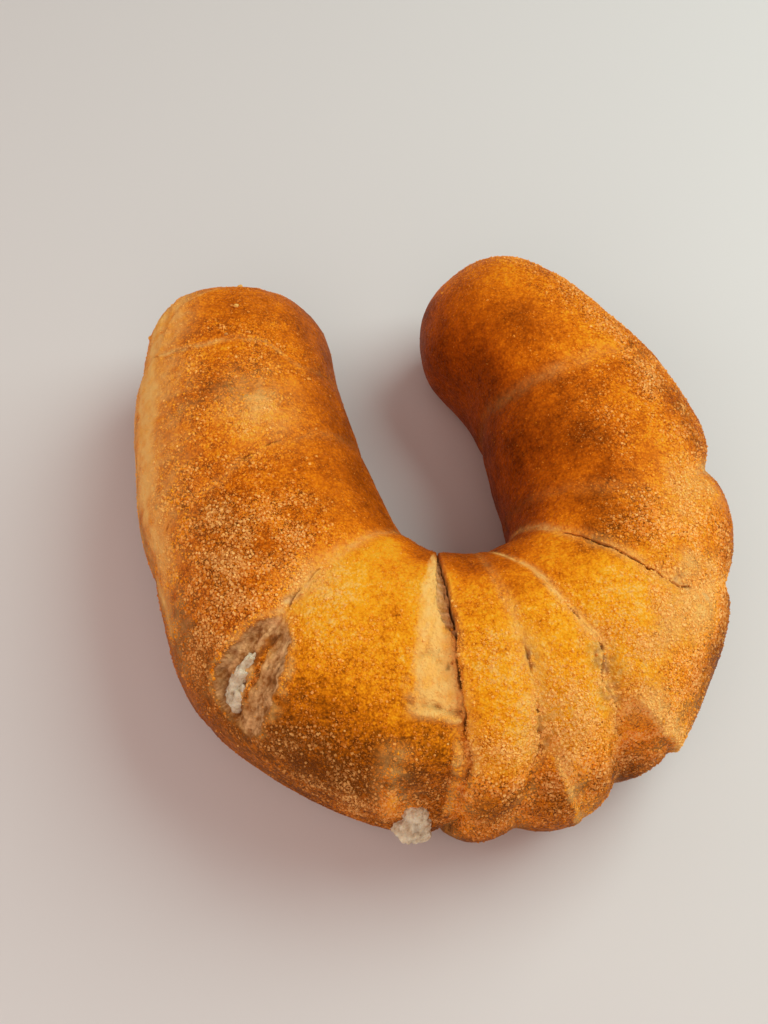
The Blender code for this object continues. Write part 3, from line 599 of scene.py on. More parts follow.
# The crust's tones. "browning" is 0 where pale and 1 where dark brown. Patches are along, around,
# their sizes in mm and degrees, and an amount.
crustTone = {
    "base": 0.55, "inner": 0.20, "rim": 0.26,  # more on the inner side and near the base
    "web": 0.17, "besideWeb": 0.04,  # less on the crinkles, and more beside them
    "slow": ((9.0, 0.10), (3.5, 0.07)),  # noise: size in mm, amount
    "strewn": 0.05,  # sugar on all of the outer and top side
    "syrup": 0.09,  # browning under full sugar
    "browning": (
        # The patch at 0.174, 98 lightens the top of the left arm: paler sugary crust, with a painted sheen.
        (0.09, 90, 20, 26, -0.07), (0.174, 98, 10, 16, -0.1), (0.255, 78, 14, 26, -0.02),
        (0.332, 32, 7, 12, 0.26), (0.392, 30, 10, 14, 0.16), (0.285, 128, 7, 12, -0.06),
        (0.367, 90, 8, 20, -0.34), (0.398, 98, 12, 24, -0.22), (0.4, 66, 10, 9, 0.05),
        (0.405, 38, 15, 17, 0.17), (0.455, 38, 8, 14, 0.16), (0.44, 96, 6, 30, -0.12),
        (0.491, 80, 7, 26, -0.24), (0.491, 46, 6, 12, -0.22), (0.518, 52, 9, 20, -0.36),
        (0.545, 88, 13, 22, -0.22), (0.574, 62, 13, 22, -0.32), (0.56, 24, 12, 14, -0.08),
        (0.603, 36, 6, 12, 0.06), (0.608, 86, 8, 14, -0.22), (0.65, 106, 9, 11, 0.28),
        (0.655, 80, 7, 12, -0.08), (0.69, 66, 8, 16, -0.19), (0.704, 98, 8, 14, 0.1),
        (0.745, 52, 10, 14, 0.18), (0.745, 76, 7, 10, -0.08), (0.772, 112, 16, 16, 0.1),
        (0.812, 54, 9, 14, 0.12), (0.838, 80, 8, 16, -0.16), (0.895, 100, 12, 12, 0.06),
        (0.932, 88, 8, 16, -0.09), (0.8, 155, 50, 30, 0.08), (0.24, 30, 34, 14, -0.2),
        (0.08, 38, 26, 18, -0.24), (0.5545, 22, 6, 14, -0.1), (0.146, 84, 7, 20, 0.2),
        (0.235, 62, 26, 26, 0.07), (0.295, 74, 12, 26, 0.06), (0.32, 44, 10, 20, 0.08),
        (0.757, 114, 9, 18, 0.13), (0.893, 106, 9, 16, 0.13), (0.41, 24, 9, 12, 0.07),
        (0.458, 52, 5, 9, 0.13), (0.366, 128, 8, 20, -0.26), (0.446, 118, 7, 20, -0.22),
        (0.434, 68, 6, 10, -0.14), (0.614, 122, 10, 18, -0.24), (0.637, 92, 6, 10, 0.08),
        (0.5, 2, 10, 14, -0.18), (0.19, 96, 6, 12, -0.1), (0.79, 130, 9, 16, -0.08),
        (0.07, 86, 7, 18, 0.1), (0.33, 34, 10, 16, 0.05), (0.735, 100, 6, 12, 0.06),
        (0.3, 74, 10, 22, 0.04), (0.046, 108, 8, 16, 0.12), (0.146, 92, 8, 16, 0.09),
        (0.441, 113, 6, 14, -0.1), (0.37, 126, 7, 16, -0.06), (0.566, 86, 7, 14, -0.09),
        (0.74, 89, 9, 16, -0.05), (0.697, 74, 9, 16, -0.06), (0.675, 66, 6, 12, -0.04),
        (0.755, 124, 10, 14, 0.06), (0.136, 70, 6, 12, -0.09),
    ),
    "sugar": (
        (0.3, 72, 14, 32, 0.95), (0.345, 48, 10, 26, 0.8), (0.2, 85, 18, 30, 0.32),
        (0.12, 95, 16, 34, 0.28), (0.4, 34, 16, 24, 0.42), (0.4, 80, 14, 30, 0.22),
        (0.45, 14, 14, 24, 0.75), (0.49, 30, 10, 30, 0.85), (0.49, 85, 9, 24, 0.25),
        (0.53, 36, 10, 34, 0.85), (0.575, 40, 12, 24, 0.8), (0.6, 62, 10, 20, 0.7),
        (0.64, 40, 12, 24, 0.8), (0.665, 70, 10, 24, 0.95), (0.72, 60, 14, 24, 0.6),
        (0.78, 58, 18, 24, 0.62), (0.86, 56, 26, 22, 0.58), (0.64, 96, 8, 12, 0.25),
        (0.56, 80, 10, 20, 0.3), (0.76, 88, 16, 20, 0.28), (0.24, 60, 16, 22, 0.5),
        (0.556, 18, 7, 22, 0.85),
    ),
    "pale": (
        (0.6311, 64, 3.4, 7, 0.8), (0.622, 50, 5, 13, 0.75), (0.603, 60, 5, 9, 0.5),
        (0.56, 40, 4, 14, 0.3), (0.515, 84, 2.5, 8, 0.3), (0.075, 41, 12, 13, 1), (0.13, 36, 18, 16, 1),
        (0.21, 32, 24, 15, 1), (0.285, 22, 14, 12, 0.6), (0.12, 10, 40, 18, 0.7), (0.348, 92, 4, 8, 0.45),
        # The patch at 0.174, 98 on the next line: paler sugary crust, with a painted sheen.
        (0.575, 14, 4, 16, 0.4), (0.7, 50, 3, 16, 0.3), (0.174, 98, 9, 15, 0.42),
        # The patch at 0.69, 70 on the next line is a painted highlight.
        (0.6385, 50, 3.4, 15, 0.62), (0.69, 70, 8, 14, 0.2), (0.13, 56, 24, 15, 0.42),
        (0.205, 48, 24, 13, 0.38), (0.06, 58, 12, 12, 0.5),
    ),
    "torn": (
        (0.5165, 83, 1, 6, 0.75), (0.512, 50, 1.6, 12, 0.5), (0.5545, 70, 1.8, 9, 0.9),
        (0.5505, 56, 1.8, 8, 0.7), (0.625, 66, 1.2, 9, 0.5), (0.6275, 50, 1.6, 12, 0.3),
        (0.45, 20, 3, 14, 0.35), (0.35, 84, 1.2, 8, 0.6),
    ),
}


# Tones of one stretch. Browning is the base plus its patches and slow noise. Sugar, pale and torn
# take the highest of their patches, broken up by noise. "yellow" is 1 on the bend.
def crustTones(points, way, around, tones):
    turned, noise, spot = unrolled(around), partial(spaceNoise, points), partial(patch, way, around)
    browning = np.full_like(way, crustTone["base"])
    for *place, amount in crustTone["browning"]:
        browning += amount * spot(*place)
    browning += crustTone["inner"] * smoothStep(112, 146, turned)
    browning += crustTone["rim"] * smoothStep(44, 12, turned) * smoothStep(-100, -60, turned)
    browning -= crustTone["web"] * tones.pop("web") - crustTone["besideWeb"]
    browning += sum(amount * noise(size * mm, 81 + k) for k, (size, amount) in enumerate(crustTone["slow"]))
    along = way / rollLength + 0.02 * noise(14 * mm, 86)
    bend = smoothStep(0.33, 0.38, along) * smoothStep(0.70, 0.58, along)
    tones["yellow"] = bend * smoothStep(125, 85, turned)
    sugar, pale, torn = crustTone["strewn"] * smoothStep(128, 96, turned), tones["pale"], tones["torn"]
    for *place, amount in crustTone["sugar"]:
        sugar = np.maximum(sugar, amount * spot(*place))
    sugar *= np.clip(0.75 + 0.9 * noise(5 * mm, 83), 0.05, 1.4)
    blotches = np.clip(1 + 0.65 * noise(4.5 * mm, 87) + 0.5 * noise(1.8 * mm, 88), 0, 1.6)
    for *place, amount in crustTone["pale"]:
        pale = np.maximum(pale, amount * blotches * spot(*place))
    pale = pale * smoothStep(1.5 * mm, 9 * mm, np.minimum(way, rollLength - way))
    rags = np.clip(0.6 + 1.5 * noise(1.3 * mm, 85), 0, 1.3)
    for *place, amount in crustTone["torn"]:
        torn = np.maximum(torn, amount * rags * spot(*place))
    tones["torn"] = torn
    tones["browning"] = np.clip(browning + crustTone["syrup"] * np.clip(sugar, 0, 1), 0, 1)
    tones["sugar"] = np.clip(sugar * smoothStep(-30, 0, turned), 0, 1) * (1 - torn)
    tones["pale"] = np.clip(pale * (1 + 0.3 * noise(2.5 * mm, 84)), 0, 1)
    return tones


# Places at which the running sum of a density is evenly spaced.
def densePlaces(density, low, high, count):
    fine = np.linspace(low, high, 6000)
    total = np.concatenate([[0], np.cumsum(density(fine)[:-1])])
    return np.interp(np.linspace(0, total[-1], count), total, fine)


# Rings crowd at the seams, in the tear and at the two ends: 1 plus bells on each of them.
def ringDensity(way):
    density = np.ones_like(way)
    for seam in seams.values():
        off = (way - seamTop(seam)) / mm
        density += 1.7 * bell(off / 0.9) + 0.5 * bell(off / 3.0)
    density += 0.9 * bell((way - tear["middle"] * rollLength) / (5 * mm))
    return density + 1.5 * bell(np.minimum(way, rollLength - way) / (4 * mm))


# Fewer lines of vertices under the roll, where it is flat.
def sideDensity(turn):
    return np.where(np.abs(turn - 0.75) < 0.16, 0.28, 1.0)


def fillMesh(mesh, vertices, corners, totals):
    mesh.vertices.add(len(vertices))
    mesh.vertices.foreach_set("co", np.ascontiguousarray(vertices, np.float32).ravel())
    mesh.loops.add(len(corners))
    mesh.loops.foreach_set("vertex_index", np.ascontiguousarray(corners, np.int32))
    mesh.polygons.add(len(totals))
    mesh.polygons.foreach_set("loop_start", np.concatenate([[0], np.cumsum(totals)[:-1]]).astype(np.int32))
    mesh.polygons.foreach_set("loop_total", np.ascontiguousarray(totals, np.int32))
    mesh.update(calc_edges=True)


# One value for each vertex, which the materials read by its name.
def writeTone(mesh, tone, values):
    mesh.attributes.new(tone, "FLOAT", "POINT").data.foreach_set("value", values.astype(np.float32))


# Corner indices of a closed tube: quads between rings and a fan at each pole. Faces point
# outwards where the rings run from the first pole to the last and "around" turns over the top.
def tubeFaces(count, sides):
    ring, side = np.meshgrid(np.arange(count - 1), np.arange(sides), indexing="ij")
    after = (side + 1) % sides
    quads = np.stack([ring * sides + side, (ring + 1) * sides + side,
                      (ring + 1) * sides + after, ring * sides + after], axis=-1)
    loop, last = np.arange(sides), (count - 1) * sides
    nearFan = np.stack([np.full(sides, count * sides), loop, (loop + 1) % sides], axis=-1)
    farFan = np.stack([np.full(sides, count * sides + 1), last + (loop + 1) % sides, last + loop], axis=-1)
    corners = np.concatenate([quads.ravel(), nearFan.ravel(), farFan.ravel()])
    return corners, np.concatenate([np.full(quads.size // 4, 4), np.full(2 * sides, 3)])


# A unit ball as such a tube: (cos p, sin p cos t, sin p sin t) and its two poles.
def ballPoints(count, sides):
    polar = np.linspace(0, np.pi, count + 2)[1:-1, None]
    turn = np.linspace(0, 2 * np.pi, sides, endpoint=False)[None]
    ball = [np.cos(polar) + 0 * turn, np.sin(polar) * np.cos(turn), np.sin(polar) * np.sin(turn)]
    return np.concatenate([np.stack(ball, axis=-1).reshape(-1, 3), [(1, 0, 0), (-1, 0, 0)]])


def addObject(name, data):
    placed = bpy.data.objects.new(name, data)
    bpy.context.scene.collection.objects.link(placed)
    return placed


def addPiece(name, mesh, material, replaced=None):
    piece = addObject(name, mesh)
    mesh.materials.append(material)
    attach(piece, "root")
    if replaced:
        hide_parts(replaced)


# A noise of a real size in object space.
def noiseNode(tree, place, size, detail):
    node = tree.nodes.new("ShaderNodeTexNoise")
    node.inputs["Scale"].default_value = 1 / size
    node.inputs["Detail"].default_value = detail
    tree.links.new(place, node.inputs["Vector"])
    return node.outputs["Fac"]


# A number or a colour is set on the socket, and anything else is linked to it.
def feed(tree, socket, value):
    if isinstance(value, tuple):
        socket.default_value = (*value, 1)
    elif isinstance(value, (int, float)):
        socket.default_value = value
    else:
        tree.links.new(value, socket)


def mathNode(tree, operation, first, second=0.0, clamp=False):
    node = tree.nodes.new("ShaderNodeMath")
    node.operation = operation
    node.use_clamp = clamp
    feed(tree, node.inputs[0], first)
    feed(tree, node.inputs[1], second)
    return node.outputs[0]


# value x slope + base
def slopeNode(tree, value, slope, base, clamp=False):
    return mathNode(tree, "ADD", mathNode(tree, "MULTIPLY", value, slope), base, clamp)


# (value - 0.5) x amount, which swings a noise both ways.
def swingNode(tree, value, amount):
    return mathNode(tree, "MULTIPLY", mathNode(tree, "SUBTRACT", value, 0.5), amount)


def mixColour(tree, share, first, second):
    node = tree.nodes.new("ShaderNodeMix")
    node.data_type = "RGBA"
    for socket, value in ((0, share), (6, first), (7, second)):  # the factor and the two colours
        feed(tree, node.inputs[socket], value)
    return node.outputs[2]


def attributeNode(tree, name):
    node = tree.nodes.new("ShaderNodeAttribute")
    node.attribute_name = name
    return node.outputs["Fac"]


# A material whose uniform values are set on the shader's sockets, by their names.
def newMaterial(name, uniform):
    material = bpy.data.materials.new(name)
    material.use_nodes = True
    tree = material.node_tree
    shader, place = tree.nodes["Principled BSDF"], tree.nodes.new("ShaderNodeTexCoord").outputs["Object"]
    for socket, value in uniform.items():
        shader.inputs[socket].default_value = value
    return material, tree, shader, place


def addBump(tree, shader, height, strength, distance):
    bump = tree.nodes.new("ShaderNodeBump")
    bump.inputs["Strength"].default_value = strength
    bump.inputs["Distance"].default_value = distance
    tree.links.new(height, bump.inputs["Height"])
    tree.links.new(bump.outputs["Normal"], shader.inputs["Normal"])


crust = {
    "ramp": (  # browning, colour, as on the arms
        (0.00, (0.93, 0.52, 0.13)), (0.20, (0.93, 0.40, 0.020)), (0.36, (0.92, 0.31, 0.010)),
        (0.50, (0.80, 0.195, 0.005)), (0.65, (0.58, 0.118, 0.003)), (0.80, (0.38, 0.070, 0.002)),
        (1.00, (0.17, 0.028, 0.001)),
    ),
    "yellowRamp": (  # the same on the bend, where the crust is yellower
        (0.00, (0.96, 0.52, 0.12)), (0.20, (0.97, 0.41, 0.016)), (0.36, (0.94, 0.335, 0.008)),
        (0.50, (0.80, 0.240, 0.005)), (0.65, (0.58, 0.155, 0.003)), (0.80, (0.37, 0.094, 0.002)),
        (1.00, (0.16, 0.036, 0.001)),
    ),
    "pale": (0.97, 0.56, 0.17),  # bare dough
    "torn": (0.36, 0.145, 0.040), "tornLight": (0.92, 0.54, 0.24), "flecks": (0.7, 1.7),  # mm, contrast
    # Colour of the painted shade in cracks, crevices, pits and the tear's hollows.
    "paintedShade": (0.10, 0.032, 0.008),  # in cracks
    "sugarTint": (0.90, 0.42, 0.07), "haze": 0.3,
    "grain": 0.6, "grainLevel": 0.45, "graininess": 0.95,  # mm, middle distance, contrast
    "mottling": ((6.0, 4, 0.26), (1.5, 3, 0.70), (0.45, 2, 0.68)),  # size in mm, detail, amount
    # How the grain and the finer mottling grow with sugar: slope and base.
    "sugary": (1.1, 0.18), "lively": (2.2, 0.42), "livelyYellow": 0.5, "livelyMost": 1.5,
    "bareMottling": (0.8, 0.55),  # slope and base of bare dough on the middle mottling
    "roughness": (0.25, 0.36), "bareRoughness": 0.25,  # slope and base, and more on bare dough
    "uniform": {"Specular IOR Level": 0.06, "Specular Tint": (1.0, 0.62, 0.20, 1)},
    "bumpNoises": ((0.9, 3, 0.7), (0.3, 2, 0.3)), "crinkles": (1.7, 3, 1.1),  # mm, detail, amount
    "bump": (0.9, 0.0006),  # strength, metres
}


def crustRamp(tree, browning, rows):
    ramp = tree.nodes.new("ShaderNodeValToRGB")
    elements = ramp.color_ramp.elements
    while len(elements) < len(rows):
        elements.new(0.5)
    for element, (position, colour) in zip(elements, rows):
        element.position = position
        element.color = (*colour, 1)
    tree.links.new(browning, ramp.inputs["Fac"])
    return ramp.outputs["Color"]


# Crust: browning, plus the distance to scattered grain centres and three sizes of mottling, reads
# the two colour ramps, which "yellow" mixes. The grains and the two finer mottlings are stronger
# where there is sugar. Bare dough, a light sugar haze, torn crumb and painted shade (in cracks,
# crevices, pits and the tear's hollows) are mixed over it in this order. Fine noises and the grains
# give a bump.
def crustMaterial():
    material, tree, shader, place = newMaterial("bakedDough", crust["uniform"])
    calc, slope, swing = (partial(make, tree) for make in (mathNode, slopeNode, swingNode))
    mix, noise = partial(mixColour, tree), partial(noiseNode, tree, place)
    browning, sugar, pale, torn, paintedShade, yellow = (
        attributeNode(tree, name) for name in ("browning", "sugar", "pale", "torn", "paintedShade", "yellow"))
    cells = tree.nodes.new("ShaderNodeTexVoronoi")
    cells.inputs["Scale"].default_value = 1 / (crust["grain"] * mm)
    tree.links.new(place, cells.inputs["Vector"])
    fromGrain = calc("SUBTRACT", cells.outputs["Distance"], crust["grainLevel"])
    sugary = slope(sugar, *crust["sugary"])
    lively = calc("ADD", slope(sugar, *crust["lively"]), calc("MULTIPLY", yellow, crust["livelyYellow"]))
    lively = calc("MINIMUM", lively, crust["livelyMost"])
    grainTone = calc("MULTIPLY", calc("MULTIPLY", fromGrain, crust["graininess"]), sugary)
    browning = calc("ADD", browning, grainTone)
    noises = [noise(size * mm, detail) for size, detail, _ in crust["mottling"]]
    for made, (size, _, amount) in zip(noises, crust["mottling"]):
        shifted = swing(made, amount)
        if size < 2:
            shifted = calc("MULTIPLY", shifted, lively)
        browning = calc("ADD", browning, shifted)
    _, middle, fine = noises
    bare = calc("MULTIPLY", pale, slope(middle, *crust["bareMottling"]), clamp=True)
    ramps = (crustRamp(tree, browning, crust[name]) for name in ("ramp", "yellowRamp"))
    colour = mix(bare, mix(yellow, *ramps), crust["pale"])
    haze = calc("MULTIPLY", sugar, calc("MULTIPLY", fine, crust["haze"]), clamp=True)
    colour = mix(haze, colour, crust["sugarTint"])
    fleckSize, fleckContrast = crust["flecks"]
    flecks = swing(noise(fleckSize * mm, 3), fleckContrast)
    crumb = mix(calc("ADD", pale, flecks, clamp=True), crust["torn"], crust["tornLight"])
    # Painted shade in cracks and hollows is mixed over everything last.
    colour = mix(paintedShade, mix(torn, colour, crumb), crust["paintedShade"])
    tree.links.new(colour, shader.inputs["Base Color"])
    rough = slope(fine, *crust["roughness"])
    rough = calc("ADD", rough, calc("MULTIPLY", bare, crust["bareRoughness"]), clamp=True)
    tree.links.new(rough, shader.inputs["Roughness"])
    height = calc("ADD", *(calc("MULTIPLY", noise(size * mm, detail), amount)
                           for size, detail, amount in crust["bumpNoises"]))
    size, detail, amount = crust["crinkles"]
    crinkles = calc("ABSOLUTE", calc("SUBTRACT", noise(size * mm, detail), 0.5))
    height = calc("ADD", height, calc("MULTIPLY", crinkles, amount))
    height = calc("SUBTRACT", height, calc("MULTIPLY", fromGrain, sugary))
    addBump(tree, shader, height, *crust["bump"])
    return material


# The dough is made of five stretches that meet in the bottom of four seams. At a meeting each
# one turns inwards to a point on the middle line, so each is a closed body.
dough = {
    "stretches": {
        "doughLeftArm": {"from": None, "to": "leftArm", "rings": 312, "sides": 308},
        "doughLeftBend": {"from": "leftArm", "to": "centreSplit", "rings": 312, "sides": 308},
        "doughBend": {"from": "centreSplit", "to": "rightSlit", "rings": 290, "sides": 330},
        "doughRightBend": {"from": "rightSlit", "to": "rightArm", "rings": 316, "sides": 300},
        "doughRightArm": {"from": "rightArm", "to": None, "rings": 320, "sides": 300},
    },
    "caps": (0.93, 0.78, 0.52, 0.25),  # scales of the rings that close a meeting
    "endGap": 0.02,  # mm from the last ring to the tip
    "dimples": ((8.0, 0.25), (4.0, 0.12), (1.8, 0.06), (0.9, 0.045)),  # size and height, mm
}


# One stretch: rings are spread by density on the straightened roll, and lean with the seams by
# linear interpolation between the seams on either side. Relief, dimples and tones are then read
# at every vertex, and the rings at a meeting shrink to the middle line.
def doughStretch(plan):
    straight = {name: seamTop(seam) for name, seam in seams.items()}
    low = straight[plan["from"]] if plan["from"] else dough["endGap"] * mm
    high = straight[plan["to"]] if plan["to"] else rollLength - dough["endGap"] * mm
    ringWay = densePlaces(ringDensity, low, high, plan["rings"])
    angles = densePlaces(sideDensity, 0, 1, plan["sides"] + 1)[:-1] * 360
    around = np.broadcast_to(angles, (plan["rings"], plan["sides"])).copy()
    way = np.empty_like(around)
    leaning = np.array([seamWay(seam, angles) for seam in seams.values()])
    anchors = [0, *straight.values(), rollLength]
    for column in range(plan["sides"]):  # one interpolation for each line of vertices
        way[:, column] = np.interp(ringWay, anchors, [0, *leaning[:, column], rollLength])
    relief, slide, tones, shown = skin(way, around)
    points = rollPoints(way - slide, around, relief * mm)
    for number, (size, height) in enumerate(dough["dimples"]):
        relief += height * spaceNoise(points, size * mm, 91 + number) * np.clip(shown + 0.3, 0, 1)
    points = rollPoints(way - slide, around, relief * mm)
    tones = crustTones(points, way, around, tones)
    strewn = np.where(tones["torn"] > 0.3, -1, tones["sugar"])
    shownSkin = points, strewn, tones["browning"] - 0.8 * tones["pale"]
    rings, poles = points, []
    for end, seamName in ((0, plan["from"]), (-1, plan["to"])):
        x, y, _, height, _, _ = alongMiddle(way[end].mean())
        core = np.array([x, y, roll["widestLevel"] * height])
        poles.append(core)
        if seamName:
            cap = np.array([core + (points[end] - core) * scale for scale in dough["caps"]])
            rings = np.concatenate([cap[::-1], rings] if end == 0 else [rings, cap])
            for name, values in tones.items():
                extra = np.repeat(values[end][None], len(cap), axis=0)
                tones[name] = np.concatenate([extra, values] if end == 0 else [values, extra])
    return rings, poles, tones, shownSkin


crustFinish = crustMaterial()
skins = []
with ThreadPoolExecutor() as workers:  # the stretches are worked out side by side
    stretches = list(workers.map(doughStretch, dough["stretches"].values()))
for (name, plan), (rings, poles, tones, shownSkin) in zip(dough["stretches"].items(), stretches):
    skins.append(shownSkin)
    count, sides = rings.shape[:2]
    mesh = bpy.data.meshes.new(name)
    fillMesh(mesh, np.concatenate([rings.reshape(-1, 3), poles]), *tubeFaces(count, sides))
    for tone, values in tones.items():
        writeTone(mesh, tone, np.concatenate([values.ravel(), [values[0].mean(), values[-1].mean()]]))
    mesh.shade_smooth()
    # The edges of a meeting stay sharp, so the inward cap doesn't bend the skin's shading.
    ends = np.empty(len(mesh.edges) * 2, np.int32)
    mesh.edges.foreach_get("vertices", ends)
    ringOf = ends.reshape(-1, 2) // sides
    sharp = np.zeros(len(ringOf), bool)
    capCount = len(dough["caps"])
    for seamName, ring in ((plan["from"], capCount), (plan["to"], count - 1 - capCount)):
        if seamName:
            sharp |= (ringOf == ring).all(axis=1)
    mesh.attributes.new("sharp_edge", "BOOLEAN", "EDGE").data.foreach_set("value", sharp)
    addPiece(name, mesh, crustFinish, "dough")
    print(name, len(mesh.polygons), "faces")

# The filling: a rope inside the roll and rough lumps where it shows. Lumps are along, around, and
# in mm the depth of the middle under the skin and the half-sizes along, around and outwards.
filling = {
    "ropeFrom": 0.17, "ropeTo": 0.84, "ropeRadius": 8.0,  # along, along, mm
    "lumps": (
        (0.3575, 38, 3.3, 1.6, 6.4, 2.3), (0.3625, 28, 3, 1.4, 4.2, 2.1), (0.4535, 356, 2.2, 3, 3.4, 3.8),
        (0.449, 352, 1.6, 1.8, 2, 2.2), (0.4575, 359, 1.5, 1.8, 1.9, 2.1),
        (0.452, 348, 0.7, 2.4, 1.8, 1.9), (0.458, 351, 0.7, 1.9, 1.6, 1.8), (0.455, 4, 2.4, 2.2, 2, 2.4),
    ),
    "rough": ((3.0, 0.22), (1.3, 0.20), (0.6, 0.14)),  # size in mm and height as a share of the lump
    "colour": (0.90, 0.80, 0.60), "shade": (0.54, 0.39, 0.24),
    "blotch": (1.4, 2.4, 0.6),  # mm, contrast, level
    "uniform": {"Roughness": 0.42, "Subsurface Weight": 0.25, "Subsurface Radius": (1.0, 0.7, 0.45),
                "Subsurface Scale": 0.002},
    "grain": 0.5, "bump": (0.7, 0.0005),  # mm, strength, metres
}


# A lump: a ball scaled by its three half-sizes along the skin's own directions, pushed in and out
# by noise of three sizes, and kept off the surface below.
def lumpRings(along, around, depth, sizes, count=60, sides=80):
    way, angle, flush = (np.array([value], float) for value in (along * rollLength, around % 360, 0))
    surface = rollPoints(way, angle, flush)[0]
    forward = rollPoints(way + mm, angle, flush)[0] - rollPoints(way - mm, angle, flush)[0]
    turnwise = rollPoints(way, (angle + 1) % 360, flush)[0] - surface
    forward, turnwise = forward / np.linalg.norm(forward), turnwise / np.linalg.norm(turnwise)
    outward = np.cross(forward, turnwise)
    outward /= np.linalg.norm(outward)
    scaled = ballPoints(count, sides) * np.array(sizes) * mm
    centre = surface - outward * depth * mm
    points = centre + scaled[:, :1] * forward + scaled[:, 1:2] * turnwise + scaled[:, 2:] * outward
    swell = np.ones(len(points))
    for number, (size, height) in enumerate(filling["rough"]):
        swell += height * spaceNoise(points, size * mm, 121 + number)
    points = centre + (points - centre) * swell[:, None]
    points[:, 2] = np.maximum(points[:, 2], 0.0002)
    return points, *tubeFaces(count, sides)


# The rope: round rings square to the middle line, with the radius rounded off at both ends.
def ropeRings(count=90, sides=24):
    way = np.linspace(filling["ropeFrom"], filling["ropeTo"], count) * rollLength
    x, y, _, height, outX, outY = alongMiddle(way)
    radius = filling["ropeRadius"] * mm
    fromEnd = np.minimum(way - way[0], way[-1] - way)
    radii = radius * np.sqrt(1 - np.clip(1 - fromEnd / radius, 0, 0.95) ** 2)
    turn = np.linspace(0, 2 * np.pi, sides, endpoint=False)
    across = radii[:, None] * np.cos(turn)
    middle = roll["widestLevel"] * height
    rings = np.stack([x[:, None] + outX[:, None] * across, y[:, None] + outY[:, None] * across,
                      middle[:, None] + radii[:, None] * np.sin(turn)], axis=-1)
    poles = np.stack([x, y, middle], axis=-1)[[0, -1]]
    return np.concatenate([rings.reshape(-1, 3), poles]), *tubeFaces(count, sides)


def joinMeshes(name, parts):
    mesh, shift, shifted = bpy.data.meshes.new(name), 0, []
    points, corners, totals = zip(*parts)
    for own, index in zip(points, corners):
        shifted.append(index + shift)
        shift += len(own)
    fillMesh(mesh, np.concatenate(points), np.concatenate(shifted), np.concatenate(totals))
    return mesh


# Filling: off-white and tan mixed by noise, a grainy bump, and a little light that passes through.
def fillingMaterial():
    material, tree, shader, place = newMaterial("paleFilling", filling["uniform"])
    grain = noiseNode(tree, place, filling["grain"] * mm, 2)
    size, contrast, level = filling["blotch"]
    blotch = swingNode(tree, noiseNode(tree, place, size * mm, 3), contrast)
    blotch = mathNode(tree, "ADD", blotch, level, clamp=True)
    tree.links.new(mixColour(tree, blotch, filling["shade"], filling["colour"]), shader.inputs["Base Color"])
    addBump(tree, shader, grain, *filling["bump"])
    return material


parts = [ropeRings()]
for along, around, depth, *sizes in filling["lumps"]:
    parts.append(lumpRings(along, around, depth, sizes))
fillingMesh = joinMeshes("creamFilling", parts)
fillingMesh.shade_smooth()
addPiece("creamFilling", fillingMesh, fillingMaterial(), "filling")
print("filling made")

# Sizes are in mm, "paleness" is how light the grains are (their own whiteness, with a painted
# glint on the palest), "clumping" is the power of the sugar tone, "evenness" is what every place
# that faces up adds to that tone, and "rise" is how far a grain's middle lies above the skin, as a
# share of its size.
sugar = {
    "coarseSugar": {"count": 15000, "low": 0.26, "high": 0.58, "paleness": 0.54, "clumping": 1.9,
                    "evenness": 0.0, "rise": -0.06, "seed": 7},
    "fineSugar": {"count": 24500, "low": 0.18, "high": 0.36, "paleness": 0.36, "clumping": 1.3,
                  "evenness": 0.006, "rise": 0.02, "seed": 8},
    "sugarDust": {"count": 48000, "low": 0.16, "high": 0.30, "paleness": 0.26, "clumping": 1.0,
                  "evenness": 0.014, "rise": 0.06, "seed": 9},
}
sugarLook = {"light": (1.0, 0.56, 0.175), "uniform": {"Roughness": 0.4, "Specular IOR Level": 0.10}}
boxCorners = np.array([(x, y, z) for x in (-0.5, 0.5) for y in (-0.5, 0.5) for z in (-0.5, 0.5)])
boxFaces = np.array([(0, 1, 3, 2), (4, 6, 7, 5), (0, 4, 5, 1), (2, 3, 7, 6), (0, 2, 6, 4), (1, 5, 7, 3)])
gemCorners = np.array([(0.6, 0, 0), (-0.6, 0, 0), (0, 0.6, 0), (0, -0.6, 0), (0, 0, 0.6), (0, 0, -0.6)])
gemFaces = np.array([(0, 2, 4), (2, 1, 4), (1, 3, 4), (3, 0, 4), (2, 0, 5), (1, 2, 5), (3, 1, 5), (0, 3, 5)])
chipCorners = np.array([(0.5, 0.5, 0.5), (0.5, -0.5, -0.5), (-0.5, 0.5, -0.5), (-0.5, -0.5, 0.5)])
chipFaces = np.array([(0, 1, 2), (0, 3, 1), (0, 2, 3), (1, 3, 2)])


# Places on the skin, drawn with a chance of cell area times sugar tone to a power, and the
# outward direction, the browning and the sugar tone there.
def skinPlaces(look, rng):
    cells, chances, looks = [], [], []
    for points, tone, brown in skins:
        beside = np.roll(points, -1, axis=1)
        a, b, c, d = points[:-1], beside[:-1], beside[1:], points[1:]
        outward = np.cross(d - a, b - a)
        area = np.linalg.norm(outward, axis=-1)
        density = (tone + np.roll(tone, -1, axis=1))[:-1] / 2
        top = smoothStep(-0.2, 0.5, outward[..., 2] / np.maximum(area, 1e-12))
        cells.append(np.stack([a, b, c, d, outward], axis=2).reshape(-1, 5, 3))
        density = np.clip(density + look["evenness"] * top, 0, None)
        chances.append((area * density ** look["clumping"]).ravel())
        looks.append(np.stack([brown[:-1], tone[:-1]], axis=-1).reshape(-1, 2))
    cells, chances = np.concatenate(cells), np.concatenate(chances)
    drawn = rng.choice(len(cells), look["count"], p=chances / chances.sum())
    a, b, c, d, outward = np.moveaxis(cells[drawn], 1, 0)
    u, v = rng.random((2, look["count"], 1))
    place = (1 - u) * (1 - v) * a + u * (1 - v) * b + u * v * c + (1 - u) * v * d
    outward = outward / np.linalg.norm(outward, axis=1)[:, None]
    return place, outward, *np.concatenate(looks)[drawn].T


